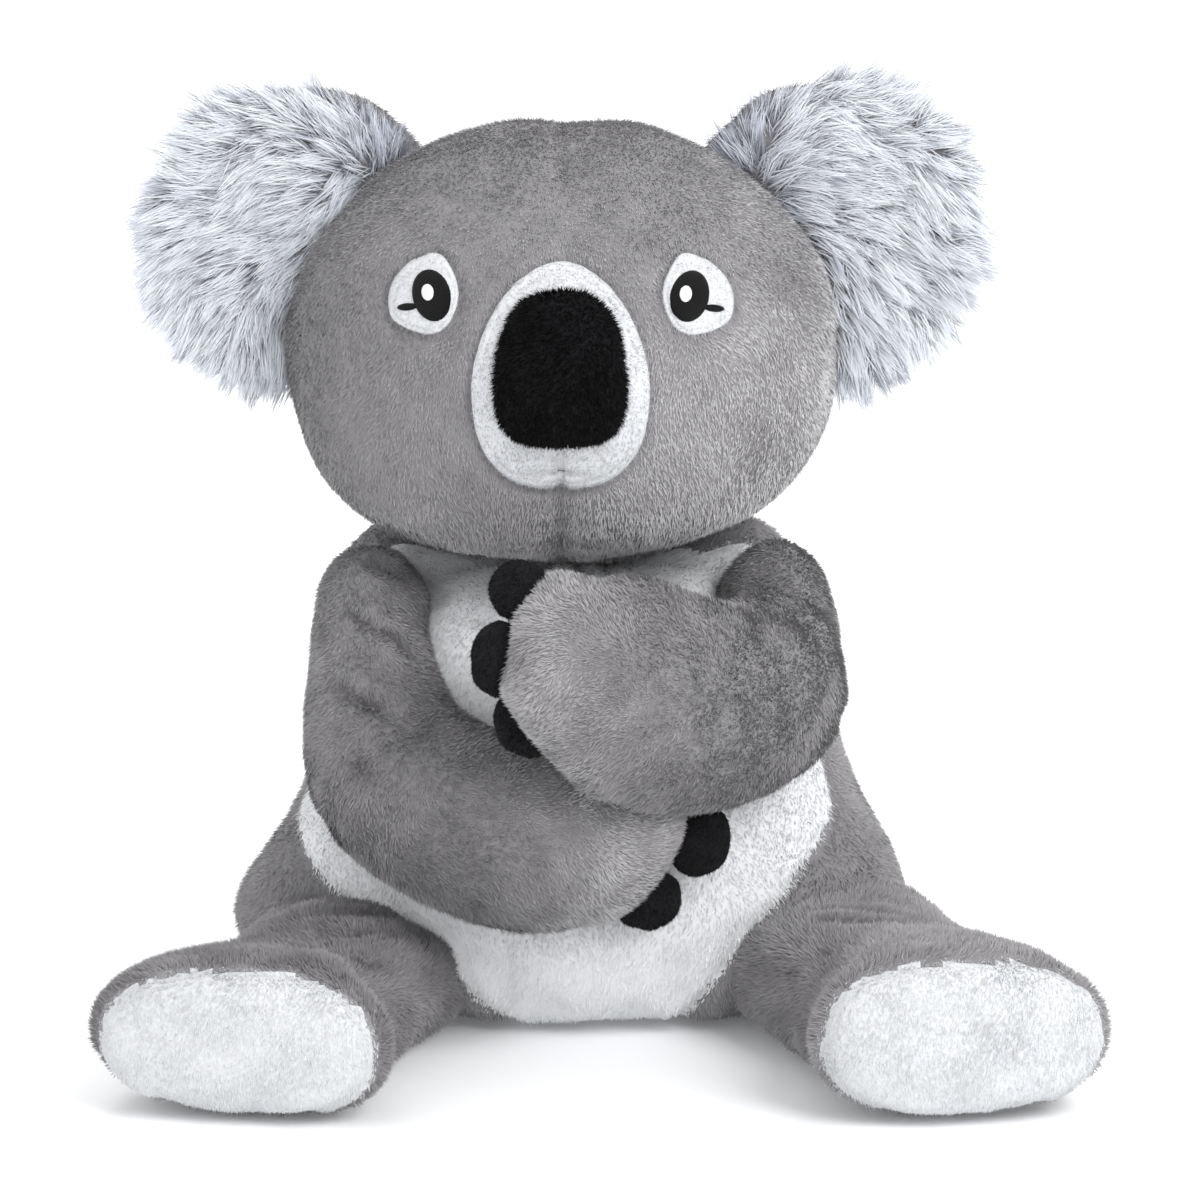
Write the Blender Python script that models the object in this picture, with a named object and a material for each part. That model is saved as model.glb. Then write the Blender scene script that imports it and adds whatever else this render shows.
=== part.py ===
"""A seated plush koala with crossed arms, made as the sewn covers, panels, patches and fillings it is built from.

Metres, +Z up. The toy faces -Y and its left side is at +X. The origin is the middle of the flat seat.
"""

import math

import bmesh
import bpy
from mathutils import Matrix, Vector

# Cloth and clearances
cloth = 0.0035
gap = 0.0003
filling_room = 0.0004
overrun = 0.04
seat_flat = 0.0005
swing_room = 0.0008

# Torso, a pear that leans to the toy's right as it rises
torso_height = 0.1960
torso_half_width = 0.138
torso_half_depth = 0.092
torso_squareness = 2.25
lean = 0.0115
torso_shares = (
    # height, half width, half depth, forward shift
    (0.00, 0.70, 0.68, 0.00),
    (0.05, 0.88, 0.88, 0.00),
    (0.15, 0.98, 0.98, 0.01),
    (0.28, 0.985, 1.00, 0.03),
    (0.40, 0.915, 0.97, 0.03),
    (0.52, 0.845, 0.89, 0.02),
    (0.68, 0.80, 0.79, 0.00),
    (0.84, 0.765, 0.69, -0.02),
    (0.935, 0.64, 0.58, -0.04),
    (0.98, 0.46, 0.45, -0.05),
    (1.00, 0.25, 0.24, -0.05),
)

# Belly and chest panel, set into the front of the torso
panel_half_width = 0.112
panel_low = 0.005
panel_top_room = 0.0055
panel_high = torso_height - panel_top_room
panel_back = 0.012
panel_shares = (
    # half width, height
    (0.00, 0.00),
    (0.30, 0.01),
    (0.44, 0.10),
    (0.74, 0.26),
    (0.98, 0.42),
    (0.96, 0.56),
    (0.80, 0.72),
    (0.70, 0.86),
    (0.58, 0.97),
    (0.00, 1.00),
)

# Bead pouch that weighs the seat
pouch_half_width = 0.062
pouch_half_depth = 0.052
pouch_half_height = 0.017
pouch_back = 0.020

# Neck: nested domes about one point
neck_sunk = 0.024
neck_height = torso_height - neck_sunk
neck_back = 0.004
neck_dome = 0.0444
neck_gather_thick = 0.0030
neck_gather_low = 0.0250
neck_gather_high = 0.0400

# Head, fuller below than above
head_half_width = 0.1158
head_half_depth = 0.1000
head_half_height = 0.0930
head_rise = 0.1214
head_height = neck_height + head_rise
head_forward = 0.025
head_lean = 0.0160
head_low_fullness = 2.5
head_high_fullness = 2.05
muzzle_rise = 0.007
muzzle_rise_reach = 0.045

# Patches on the face
muzzle_half_width = 0.0355
muzzle_half_height = 0.0458
muzzle_drop = 0.0022
muzzle_height = head_height - muzzle_drop
muzzle_thick = 0.0025
nose_half_width = 0.0258
nose_half_height = 0.0300
nose_rise = 0.0031
nose_height = head_height + nose_rise
nose_thick = 0.0035
eye_apart = 0.0555
eye_rise = 0.0300
eye_height = head_height + eye_rise
eye_half_width = 0.0142
eye_half_height = 0.0152
eye_thick = 0.0022
pupil_half_width = 0.0080
pupil_half_height = 0.0100
pupil_inward = 0.0032
pupil_lean = math.radians(12)
pupil_thick = 0.0009
glint_half_width = 0.0026
glint_half_height = 0.0033
glint_thick = 0.0006
lash_length = 0.0048
lash_half_height = 0.0009
lash_thick = 0.0009
lash_drop = 0.0050
muzzle_shares = (
    (0.00, 1.00),
    (0.42, 0.88),
    (0.76, 0.58),
    (0.96, 0.18),
    (1.00, -0.20),
    (0.90, -0.60),
    (0.62, -0.88),
    (0.22, -0.995),
    (0.00, -1.00),
)
nose_shares = (
    (0.00, 1.00),
    (0.45, 0.93),
    (0.74, 0.72),
    (0.92, 0.36),
    (1.00, -0.20),
    (0.94, -0.66),
    (0.72, -0.91),
    (0.36, -0.985),
    (0.00, -1.00),
)
eye_shares = (
    # outward, up: a full round side towards the nose and a drooping outer corner
    (-0.38, 1.00),
    (-0.80, 0.64),
    (-1.00, 0.04),
    (-0.76, -0.66),
    (-0.30, -0.98),
    (0.30, -0.96),
    (0.86, -0.74),
    (1.00, -0.30),
    (0.86, 0.22),
    (0.38, 0.72),
)

# Ears: a long-pile front on a short-pile back, on a rolled root at the side of the head
ear_apart = 0.132
ear_rise = 0.0396
ear_height = head_height + ear_rise
ear_radius = 0.0620
ear_half_thick = 0.0120
ear_back_apart = 0.114
ear_back_rise = 0.0466
ear_back_height = head_height + ear_back_rise
ear_back_radius = 0.0540
ear_back_half_thick = 0.0110
ear_back_set = 0.0130
ear_front_set = 0.0020
ear_root_apart = 0.1060
ear_root_rise = 0.0246
ear_root_height = head_height + ear_root_rise
ear_root_set = 0.0080
ear_root_radius = 0.0100
ear_root_length = 0.0440
ear_root_tilt = math.radians(22)
ear_swing = math.radians(14)

# Arms: one pattern, the left laid over the right
shoulder_apart = 0.082
shoulder_forward = 0.035
shoulder_drop = 0.030
shoulder_height = torso_height - shoulder_drop
shoulder_radius = 0.035
hand_cap = 0.022
arm_axis_tilt = math.radians(15)
left_arm_swing = math.radians(75)
arm_ratio = 0.3
arm_reach = 0.120
arm_half_height = 0.0455
arm_half_depth = 0.0360
left_arm_shares = (
    # across from the shoulder, forward of it, above it, half height, half depth
    (0.000, 0.000, 0.000, 0.70, 0.89),
    (0.000, 0.225, -0.083, 0.85, 0.97),
    (0.117, 0.517, -0.125, 0.945, 1.00),
    (0.350, 0.783, -0.058, 1.00, 1.00),
    (0.617, 0.933, 0.042, 0.98, 0.97),
    (0.783, 0.975, 0.092, 0.88, 0.89),
)
right_arm_shares = (
    (0.000, 0.000, 0.000, 0.70, 0.89),
    (0.000, 0.142, -0.200, 0.81, 0.97),
    (0.058, 0.342, -0.392, 0.84, 0.97),
    (0.283, 0.542, -0.508, 0.86, 0.945),
    (0.575, 0.650, -0.555, 0.85, 0.86),
    (0.817, 0.650, -0.570, 0.80, 0.78),
)

# Claws: felt tabs sewn into the end of each paw
claw_thick = 0.0050
claw_reach = 0.0140
claw_root = 0.0100
claw_half_width = 0.0145
claw_spread = 0.0285
claw_tuck = 0.0140

# Legs, splayed flat on the ground
hip_apart = 0.096
hip_forward = 0.048
hip_radius = 0.052
hip_half_height = 0.036
leg_close = math.radians(4)
leg_spread = math.radians(15)
leg_reach = 0.150
foot_half_height = 0.0385
foot_half_width = 0.0550
leg_shares = (
    # outward from the hip, forward of it, half height, half width
    (0.000, 0.000, 0.85, 0.82),
    (0.120, 0.350, 0.89, 0.85),
    (0.215, 0.615, 0.92, 0.87),
    (0.290, 0.840, 0.99, 0.97),
    (0.327, 0.960, 0.99, 1.00),
)
leg_squareness = 2.2
foot_cap = 0.0165
sole_half_width = 0.0520
sole_half_height = 0.0335
sole_squareness = 2.5
sole_lift = 0.0008

# Facets
round_facets = 20
limb_facets = 14
small_facets = 12
inner_facets = 12
neck_facets = 18

LEFT, RIGHT = 1, -1
SIDES = {"left": LEFT, "right": RIGHT}


def clear_scene():
    for thing in list(bpy.data.objects):
        bpy.data.objects.remove(thing, do_unlink=True)


def cloth_material(name, colour, roughness):
    material = bpy.data.materials.get(name) or bpy.data.materials.new(name)
    material.use_nodes = True
    shader = material.node_tree.nodes["Principled BSDF"]
    shader.inputs["Base Color"].default_value = (*colour, 1)
    shader.inputs["Roughness"].default_value = roughness
    material.diffuse_color = (*colour, 1)
    return material


def solid(name, form):
    """An object from a bmesh, which is used up. Its facets split alike on every copy of one shape."""
    bmesh.ops.recalc_face_normals(form, faces=form.faces)
    bmesh.ops.triangulate(form, faces=form.faces, quad_method="FIXED")
    mesh = bpy.data.meshes.new(name)
    form.to_mesh(mesh)
    form.free()
    piece = bpy.data.objects.new(name, mesh)
    bpy.context.scene.collection.objects.link(piece)
    return piece


def combine(piece, operation, others, solver="EXACT"):
    """The piece's mesh after one Boolean with each of the others, which stay as they are."""
    for other in others:
        modifier = piece.modifiers.new("cut", "BOOLEAN")
        modifier.operation = operation
        modifier.solver = solver
        modifier.object = other
        bpy.context.view_layer.update()
        graph = bpy.context.evaluated_depsgraph_get()
        mesh = bpy.data.meshes.new_from_object(piece.evaluated_get(graph))
        piece.modifiers.clear()
        old = piece.data
        piece.data = mesh
        bpy.data.meshes.remove(old)
    return piece


def minus(piece, *cutters):
    return combine(piece, "DIFFERENCE", cutters)


def plus(piece, *others):
    return combine(piece, "UNION", others)


def within(piece, *others):
    return combine(piece, "INTERSECT", others)


def minus_many(piece, *cutters):
    """For many cuts, and for cutters that nearly coincide, such as one shape turned a little at a time."""
    return combine(piece, "DIFFERENCE", cutters, "MANIFOLD")


def plus_many(piece, *others):
    return combine(piece, "UNION", others, "MANIFOLD")


def within_many(piece, *others):
    return combine(piece, "INTERSECT", others, "MANIFOLD")


def discard(*helpers):
    for helper in helpers:
        bpy.data.objects.remove(helper, do_unlink=True)


def turned(name, source, pivot, axis, angle):
    """A copy of a solid, turned about an axis."""
    copy = bpy.data.objects.new(name, source.data.copy())
    bpy.context.scene.collection.objects.link(copy)
    turn = Matrix.Translation(pivot) @ Matrix.Rotation(angle, 4, axis) @ Matrix.Translation(-pivot)
    copy.data.transform(turn)
    return copy


def smooth_row(rows, place):
    """The numbers after the first of each row, read at a place between rows on a smooth curve."""
    last = len(rows) - 1
    low = max(i for i in range(last) if rows[i][0] <= place or i == 0)
    span = rows[low + 1][0] - rows[low][0]
    t = (place - rows[low][0]) / span
    p0, p1, p2, p3 = rows[max(low - 1, 0)], rows[low], rows[low + 1], rows[min(low + 2, last)]
    found = []
    for a, b, c, d in zip(p0[1:], p1[1:], p2[1:], p3[1:]):
        slope_in = (c - a) / (p2[0] - p0[0]) * span
        slope_out = (d - b) / (p3[0] - p1[0]) * span
        ease = (2 * t**3 - 3 * t**2 + 1) * b + (t**3 - 2 * t**2 + t) * slope_in
        found.append(ease + (3 * t**2 - 2 * t**3) * c + (t**3 - t**2) * slope_out)
    return found


def closed_curve(points, per_point):
    """A smooth loop through the points, in order."""
    count = len(points)
    loop = []
    for i in range(count):
        a, b, c, d = (Vector(points[(i + k) % count]) for k in (-1, 0, 1, 2))
        for step in range(per_point):
            t = step / per_point
            loop.append(
                0.5 * (2 * b + (c - a) * t + (2 * a - 5 * b + 4 * c - d) * t**2 + (3 * b - a - 3 * c + d) * t**3)
            )
    return loop


def mirrored(half):
    """A whole outline from its right half, listed from top to bottom."""
    return [*half, *[(-x, y) for x, y in reversed(half[1:-1])]]


def ring_corners(half_across, half_up, squareness, facets):
    """Points around an oval between an ellipse and a rectangle."""
    corners = []
    for i in range(facets):
        angle = 2 * math.pi * (i + 0.5) / facets
        c, s = math.cos(angle), math.sin(angle)
        across = math.copysign(abs(c) ** (2 / squareness), c) * half_across
        up = math.copysign(abs(s) ** (2 / squareness), s) * half_up
        corners.append((across, up))
    return corners


def loft(name, rings, low_pole, high_pole):
    """A closed skin through rings of points, with a pole at each end."""
    form = bmesh.new()
    loops = [[form.verts.new(point) for point in ring] for ring in rings]
    facets = len(loops[0])
    for low, high in zip(loops, loops[1:]):
        for i in range(facets):
            j = (i + 1) % facets
            form.faces.new((low[i], low[j], high[j], high[i]))
    for pole, loop in ((low_pole, loops[0]), (high_pole, loops[-1])):
        tip = form.verts.new(pole)
        for i in range(facets):
            form.faces.new((loop[i], loop[(i + 1) % facets], tip))
    return solid(name, form)


def ball(name, centre, halves, facets=round_facets, turn=0.0, axis=(0, 0, 1)):
    """A unit ball stretched to three half sizes, the last one along the axis that its facets run round."""
    form = bmesh.new()
    bmesh.ops.create_uvsphere(form, u_segments=facets, v_segments=facets // 2 + 2, radius=1)
    bmesh.ops.rotate(form, verts=form.verts, matrix=Matrix.Rotation(turn, 3, "Z"))
    bmesh.ops.scale(form, vec=halves, verts=form.verts)
    tilt = Vector((0, 0, 1)).rotation_difference(Vector(axis)).to_matrix()
    bmesh.ops.rotate(form, verts=form.verts, matrix=tilt)
    bmesh.ops.translate(form, vec=centre, verts=form.verts)
    return solid(name, form)


def turning_room(half, facets):
    """How far from its axis the hollow reaches in which a faceted round form can turn."""
    return (half + gap) / math.cos(math.pi / facets)


def hollow_for(name, centre, half, half_along, facets, axis=(0, 0, 1)):
    """The hollow for a ball that turns about the axis, its facets half a step on from the ball's."""
    room = turning_room(half, facets)
    return ball(name, centre, (room, room, half_along + gap), facets, math.pi / facets, axis)


def prism(name, outline, start, end):
    """An outline across X and Z, drawn out along Y."""
    form = bmesh.new()
    face = form.faces.new([form.verts.new((x, start, z)) for x, z in outline])
    grown = bmesh.ops.extrude_face_region(form, geom=[face])
    moved = [v for v in grown["geom"] if isinstance(v, bmesh.types.BMVert)]
    bmesh.ops.translate(form, vec=(0, end - start, 0), verts=moved)
    return solid(name, form)


def centre_at(height):
    """How far the middle of the leaning body lies from the seat's middle, at a height."""
    return -lean * height / torso_height


def torso_form(name, inset, facets=round_facets):
    rings = []
    low, high = -seat_flat + inset, torso_height - inset
    count = facets // 2 + 1
    for i in range(count):
        share = 0.5 - 0.5 * math.cos(math.pi * i / (count - 1))
        height = low + share * (high - low)
        width, depth, forward = smooth_row(torso_shares, share)
        corners = ring_corners(
            width * torso_half_width - inset, depth * torso_half_depth - inset, torso_squareness, facets
        )
        middle = Vector((centre_at(height), -forward * torso_half_depth, height))
        rings.append([middle + Vector((x, y, 0)) for x, y in corners])
    return loft(
        name,
        rings,
        (centre_at(low), 0, low),
        (centre_at(high), -torso_shares[-1][3] * torso_half_depth, high),
    )


def head_form(name, inset, facets=round_facets):
    """The head swells at the cheeks and rises a little at the muzzle."""
    form = bmesh.new()
    bmesh.ops.create_uvsphere(form, u_segments=facets, v_segments=facets // 2 + 3, radius=1)
    centre = head_centre()
    for vert in form.verts:
        x, y, z = vert.co
        fullness = head_low_fullness if z < 0 else head_high_fullness
        profile = max(1 - abs(z) ** fullness, 0) ** (1 / fullness)
        across = math.hypot(x, y) or 1
        place = Vector(
            (
                x / across * profile * (head_half_width - inset),
                y / across * profile * (head_half_depth - inset),
                z * (head_half_height - inset),
            )
        )
        if y < 0:
            away = math.hypot(place.x, place.z) / muzzle_rise_reach
            place.y -= muzzle_rise * math.exp(-(away**2))
        vert.co = centre + place
    return solid(name, form)


def head_centre():
    return Vector((-head_lean, -head_forward, head_height))


def neck_point():
    return Vector((centre_at(neck_height), neck_back, neck_height))


def shoulder_point(side):
    return Vector((centre_at(shoulder_height) + side * shoulder_apart, -shoulder_forward, shoulder_height))


def arm_axis(side):
    """Upright, and leaning inwards at the top, so that a paw rises as the arm opens."""
    return Vector((-side * math.sin(arm_axis_tilt), 0, math.cos(arm_axis_tilt)))


def hip_point(side):
    return Vector((side * hip_apart, -hip_forward, hip_half_height - seat_flat))


def ear_root_point(side):
    return Vector((side * ear_root_apart - head_lean, ear_root_set, ear_root_height))


def ear_axis(side):
    return Vector((-side * math.sin(ear_root_tilt), 0, math.cos(ear_root_tilt)))


def arm_stations(side):
    shares = left_arm_shares if side == LEFT else right_arm_shares
    start = shoulder_point(side)
    stations = []
    for across, forward, up, height_share, depth_share in shares:
        centre = start + Vector((-side * across, -forward, up)) * arm_reach
        stations.append((centre, height_share * arm_half_height, depth_share * arm_half_depth))
    return stations


def leg_stations(side):
    start = hip_point(side)
    stations = []
    for outward, forward, height_share, width_share in leg_shares:
        half_height = height_share * foot_half_height
        x, y = start.x + side * outward * leg_reach, start.y - forward * leg_reach
        stations.append((Vector((x, y, half_height - seat_flat)), half_height, width_share * foot_half_width))
    return stations


def limb_form(name, stations, cap, inset, facets, squareness=2.0):
    """A tube of oval rings along a smooth line, flat where it starts and rounded where it ends."""
    rows = [(i, *centre, up, across) for i, (centre, up, across) in enumerate(stations)]
    steps = len(rows) + 1
    line = [smooth_row(rows, i * (len(rows) - 1) / steps) for i in range(steps + 1)]
    rings = []
    for i, (x, y, z, half_up, half_across) in enumerate(line):
        before, after = line[max(i - 1, 0)], line[min(i + 1, steps)]
        along = (Vector(after[:3]) - Vector(before[:3])).normalized()
        side = along.cross(Vector((0, 0, 1))).normalized()
        upward = side.cross(along)
        rings.append((Vector((x, y, z)), side, upward, half_across - inset, half_up - inset))
    centre, side, upward, half_across, half_up = rings[-1]
    for angle in (math.radians(32), math.radians(64)):
        reach = (cap - inset) * math.sin(angle)
        shrink = math.cos(angle) ** 0.75
        rings.append((centre + along * reach, side, upward, half_across * shrink, half_up * shrink))
    skins = [
        [c + s * a + u * b for a, b in ring_corners(w, h, squareness, facets)] for c, s, u, w, h in rings
    ]
    return loft(name, skins, rings[0][0], centre + along * (cap - inset))


def facets_at(inset):
    """Fewer facets for what is inside a limb's cover."""
    return limb_facets if inset <= 0 else inner_facets


def arm_tube(side, inset):
    return limb_form("arm tube", arm_stations(side), hand_cap, inset, facets_at(inset))


def leg_tube(side, inset):
    return limb_form("leg tube", leg_stations(side), foot_cap, inset, facets_at(inset), leg_squareness)


def shoulder_ball(side, inset):
    halves = (shoulder_radius - inset,) * 3
    return ball("shoulder", shoulder_point(side), halves, facets_at(inset), axis=arm_axis(side))


def shoulder_hollow(side):
    centre, axis = shoulder_point(side), arm_axis(side)
    return hollow_for("shoulder hollow", centre, shoulder_radius, shoulder_radius, limb_facets, axis)


def hip_ball(side, inset):
    halves = (hip_radius - inset, hip_radius - inset, hip_half_height - inset)
    return ball("hip", hip_point(side), halves, facets_at(inset))


def hip_hollow(side):
    return hollow_for("hip hollow", hip_point(side), hip_radius, hip_half_height, limb_facets)


def root_roll(name, side, radius):
    """The rolled edge of an ear, a rod with round ends along the line it flops about."""
    axis = ear_axis(side)
    across = Vector((0, 1, 0))
    sideways = across.cross(axis)
    rings = []
    for end in (-1, 1):
        middle = ear_root_point(side) + axis * end * ear_root_length / 2
        bends = [math.radians(bend) for bend in (66, 33, 0)][::-end]
        for bend in bends:
            centre = middle + axis * end * radius * math.sin(bend)
            corners = ring_corners(radius * math.cos(bend), radius * math.cos(bend), 2, small_facets)
            rings.append([centre + sideways * a + across * b for a, b in corners])
    reach = ear_root_length / 2 + radius
    return loft(name, rings, ear_root_point(side) - axis * reach, ear_root_point(side) + axis * reach)


def ear_disc(name, side, apart, height, radius, half_thick, set_back, inset):
    centre = Vector((side * apart - head_lean, set_back, height))
    return ball(name, centre, (radius - inset, half_thick - inset, radius - inset), limb_facets)


def level_block(name, low, high, reach):
    form = bmesh.new()
    bmesh.ops.create_cube(form, size=1)
    bmesh.ops.scale(form, vec=(reach, reach, high - low), verts=form.verts)
    bmesh.ops.translate(form, vec=(0, 0, (low + high) / 2), verts=form.verts)
    return solid(name, form)


def ground_block():
    """Everything under the ground, which cuts the seat and the feet flat."""
    return level_block("ground", -overrun, 0, 4 * (torso_half_width + torso_half_depth + hip_apart))


def finish(piece, name, material, pivot=None):
    """Names the piece, gives it its cloth and hangs it on its joint's empty."""
    piece.name = name
    piece.data.name = name
    piece.data.materials.clear()
    piece.data.materials.append(material)
    for polygon in piece.data.polygons:
        polygon.material_index = 0
    piece.data.shade_smooth()
    piece.data.set_sharp_from_angle(angle=math.radians(40))
    if pivot:
        piece.parent = pivot
        piece.matrix_parent_inverse = pivot.matrix_world.inverted()
    return piece


def pivot_at(name, place, parent=None):
    empty = bpy.data.objects.new(name, None)
    empty.location = place
    empty.empty_display_size = shoulder_radius
    bpy.context.scene.collection.objects.link(empty)
    bpy.context.view_layer.update()
    if parent:
        empty.parent = parent
        empty.matrix_parent_inverse = parent.matrix_world.inverted()
        bpy.context.view_layer.update()
    return empty


def panel_outline(grow):
    """The belly panel from the front, following the body's lean."""
    half = [
        (share * (panel_half_width + grow), panel_low - grow + up * (panel_high - panel_low + 2 * grow))
        for share, up in reversed(panel_shares)
    ]
    points = [(x + centre_at(z), z) for x, z in mirrored(half)]
    return closed_curve(points, 2)


def oval(centre, half_width, half_height, facets, lean_angle=0.0):
    outline = []
    for i in range(facets):
        angle = 2 * math.pi * i / facets
        x, z = math.cos(angle) * half_width, math.sin(angle) * half_height
        outline.append(
            (
                centre[0] + x * math.cos(lean_angle) - z * math.sin(lean_angle),
                centre[1] + x * math.sin(lean_angle) + z * math.cos(lean_angle),
            )
        )
    return outline


def face_patch(name, outline, low, high, material, pivot):
    """A patch that follows the head, from one height above its cloth to another."""
    piece = prism(name, outline, -head_forward - head_half_depth - overrun, -head_forward)
    outer = head_form("outer", -high)
    inner = head_form("inner", -low)
    within(piece, outer)
    minus(piece, inner)
    discard(outer, inner)
    return finish(piece, name, material, pivot)


def build_torso(grey, white, stuffing, beads):
    outer = torso_form("outer", 0)
    dome = ball("dome", neck_point(), (neck_dome,) * 3, neck_facets)
    plus_many(outer, dome)
    inner = torso_form("inner", cloth, inner_facets)
    inner_dome = ball("inner dome", neck_point(), (neck_dome - cloth,) * 3, inner_facets)
    plus_many(inner, inner_dome)
    filling = torso_form("filling", cloth + filling_room, inner_facets)
    filling_dome = ball("filling dome", neck_point(), (neck_dome - cloth - filling_room,) * 3, inner_facets)
    plus_many(filling, filling_dome)
    ground = ground_block()
    hollows = [make(side) for side in (LEFT, RIGHT) for make in (shoulder_hollow, hip_hollow)]
    minus_many(outer, ground, inner, *hollows)
    minus_many(filling, *hollows)

    back = -panel_back
    front = -torso_half_depth - overrun
    panel_block = prism("panel block", panel_outline(0), front, back)
    panel_hole = prism("panel hole", panel_outline(gap), front, back + gap)
    panel = turned("belly_panel", outer, Vector(), Vector((0, 0, 1)), 0)
    within_many(panel, panel_block)
    minus_many(outer, panel_hole)
    finish(outer, "torso_cover", grey)
    finish(panel, "belly_panel", white)

    floor = -seat_flat + cloth + filling_room + gap
    centre = Vector((0, pouch_back, floor + pouch_half_height))
    halves = Vector((pouch_half_width, pouch_half_depth, pouch_half_height))
    pouch = ball("pouch", centre, halves, small_facets)
    room = ball("room", centre, halves + Vector((gap,) * 3), small_facets)
    shaft = ball("shaft", centre - Vector((0, 0, pouch_half_height)), halves + Vector((gap, gap, 0)), small_facets)
    minus_many(pouch, *hollows[1::2])
    minus_many(filling, room, shaft)
    finish(filling, "torso_filling", stuffing)
    finish(pouch, "seat_bead_pouch", beads)
    discard(dome, inner, inner_dome, filling_dome, ground, *hollows, panel_block, panel_hole, room, shaft)


def neck_gather_radius():
    return turning_room(neck_dome, neck_facets) + neck_gather_thick


def build_neck(grey, pivot):
    """The gathered cloth between body and head, a band of a round shell."""
    band = ball("band", neck_point(), (neck_gather_radius(),) * 3, neck_facets, axis=(1, 0, 0))
    core = hollow_for("core", neck_point(), neck_dome, neck_dome, neck_facets)
    keep = level_block(
        "keep", neck_height + neck_gather_low, neck_height + neck_gather_high, 4 * (neck_dome + neck_gather_thick)
    )
    minus(band, core)
    within(band, keep)
    discard(core, keep)
    finish(band, "neck_gather", grey, pivot)


def build_head(grey, stuffing, pivot):
    around = neck_gather_radius()
    socket = hollow_for("socket", neck_point(), around, around, neck_facets, (1, 0, 0))
    rolls = [root_roll("roll", side, turning_room(ear_root_radius, small_facets)) for side in (LEFT, RIGHT)]
    cover = head_form("cover", 0)
    inner = head_form("inner", cloth, inner_facets)
    filling = head_form("filling", cloth + filling_room, inner_facets)
    minus(cover, inner, socket, *rolls)
    minus(filling, socket, *rolls)
    finish(cover, "head_cover", grey, pivot)
    finish(filling, "head_filling", stuffing, pivot)
    discard(socket, inner, *rolls)


def build_face(white, black, thread, glint, pivot):
    middle = -head_lean
    muzzle = [(middle + x * muzzle_half_width, muzzle_height + z * muzzle_half_height) for x, z in mirrored(muzzle_shares)]
    nose = [(middle + x * nose_half_width, nose_height + z * nose_half_height) for x, z in mirrored(nose_shares)]
    face_patch("muzzle_patch", closed_curve(muzzle, 2), gap, muzzle_thick, white, pivot)
    nose_low = muzzle_thick + gap
    face_patch("nose", closed_curve(nose, 2), nose_low, nose_low + nose_thick, black, pivot)
    for name, side in SIDES.items():
        x, z = middle + side * eye_apart, eye_height
        points = [(x + side * out * eye_half_width, z + up * eye_half_height) for out, up in eye_shares]
        if side == RIGHT:
            points.reverse()
        face_patch(f"{name}_eye_patch", closed_curve(points, 2), gap, eye_thick, white, pivot)
        pupil_x = x - side * pupil_inward
        tilt = -side * pupil_lean
        low = eye_thick + gap
        outline = oval((pupil_x, z), pupil_half_width, pupil_half_height, small_facets, tilt)
        face_patch(f"{name}_pupil", outline, low, low + pupil_thick, thread, pivot)
        low_glint = low + pupil_thick + gap
        outline = oval((pupil_x, z), glint_half_width, glint_half_height, small_facets - 4)
        face_patch(f"{name}_eye_glint", outline, low_glint, low_glint + glint_thick, glint, pivot)
        start = pupil_x + side * (pupil_half_width + gap)
        height = z - lash_drop
        lash = [
            (start, height + lash_half_height),
            (start, height - lash_half_height),
            (start + side * lash_length, height - 2 * lash_half_height),
        ]
        face_patch(f"{name}_lash", lash, low, low + lash_thick, thread, pivot)


def build_ear(name, side, fur, grey, pivot):
    root = ear_root_point(side)
    axis = ear_axis(side)
    front = ear_disc("front", side, ear_apart, ear_height, ear_radius, ear_half_thick, ear_front_set, 0)
    front_room = ear_disc("front room", side, ear_apart, ear_height, ear_radius, ear_half_thick, ear_front_set, -gap)
    back = ear_disc(
        "back", side, ear_back_apart, ear_back_height, ear_back_radius, ear_back_half_thick, ear_back_set, 0
    )
    roll = root_roll("roll", side, ear_root_radius)
    roll_gap = root_roll("roll gap", side, ear_root_radius + gap)
    head = head_form("head", -gap - swing_room)
    swept = [turned("swept", head, root, axis, share * ear_swing) for share in (-1, 0, 1)]
    minus_many(back, front_room, *swept)
    plus_many(back, roll)
    minus_many(front, roll_gap, *swept)
    finish(front, f"{name}_ear_fur", fur, pivot)
    finish(back, f"{name}_ear_back", grey, pivot)
    discard(front_room, roll, roll_gap, head, *swept)


def arm_solid(name, side, inset, rest):
    """An arm, cut back by the torso it lies on and by what lies over it, on its round root."""
    piece = shoulder_ball(side, inset)
    piece.name = name
    reach = arm_tube(side, inset)
    body = torso_form("body", -gap - inset)
    swing = -side * (left_arm_swing if side == LEFT else left_arm_swing * arm_ratio)
    swept = [turned("swept", body, shoulder_point(side), arm_axis(side), share * swing) for share in (0.5, 1)]
    minus_many(reach, body, *swept, *rest)
    plus_many(piece, reach)
    discard(body, reach, *swept)
    return piece


def build_arm(name, side, grey, felt, stuffing, pivot, others):
    """others gives, for an inset, what else cuts the arm back."""
    solids = []
    for label, inset in (("cover", 0), ("inner", cloth), ("filling", cloth + filling_room)):
        rest = others(inset)
        solids.append(arm_solid(label, side, inset, rest))
        discard(*rest)
    cover, inner, filling = solids
    inward = (Vector((centre_at(shoulder_height), 0, shoulder_height)) - shoulder_point(side)).normalized()
    mouth_place = shoulder_point(side) + inward * shoulder_radius
    mouth = ball("mouth", mouth_place, (shoulder_radius / 2,) * 3, small_facets)
    minus_many(cover, inner, mouth)
    minus_many(filling, mouth)
    build_claws(name, side, felt, pivot, others(0))
    finish(cover, f"{name}_arm_cover", grey, pivot)
    finish(filling, f"{name}_arm_filling", stuffing, pivot)
    discard(inner, mouth)


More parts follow.
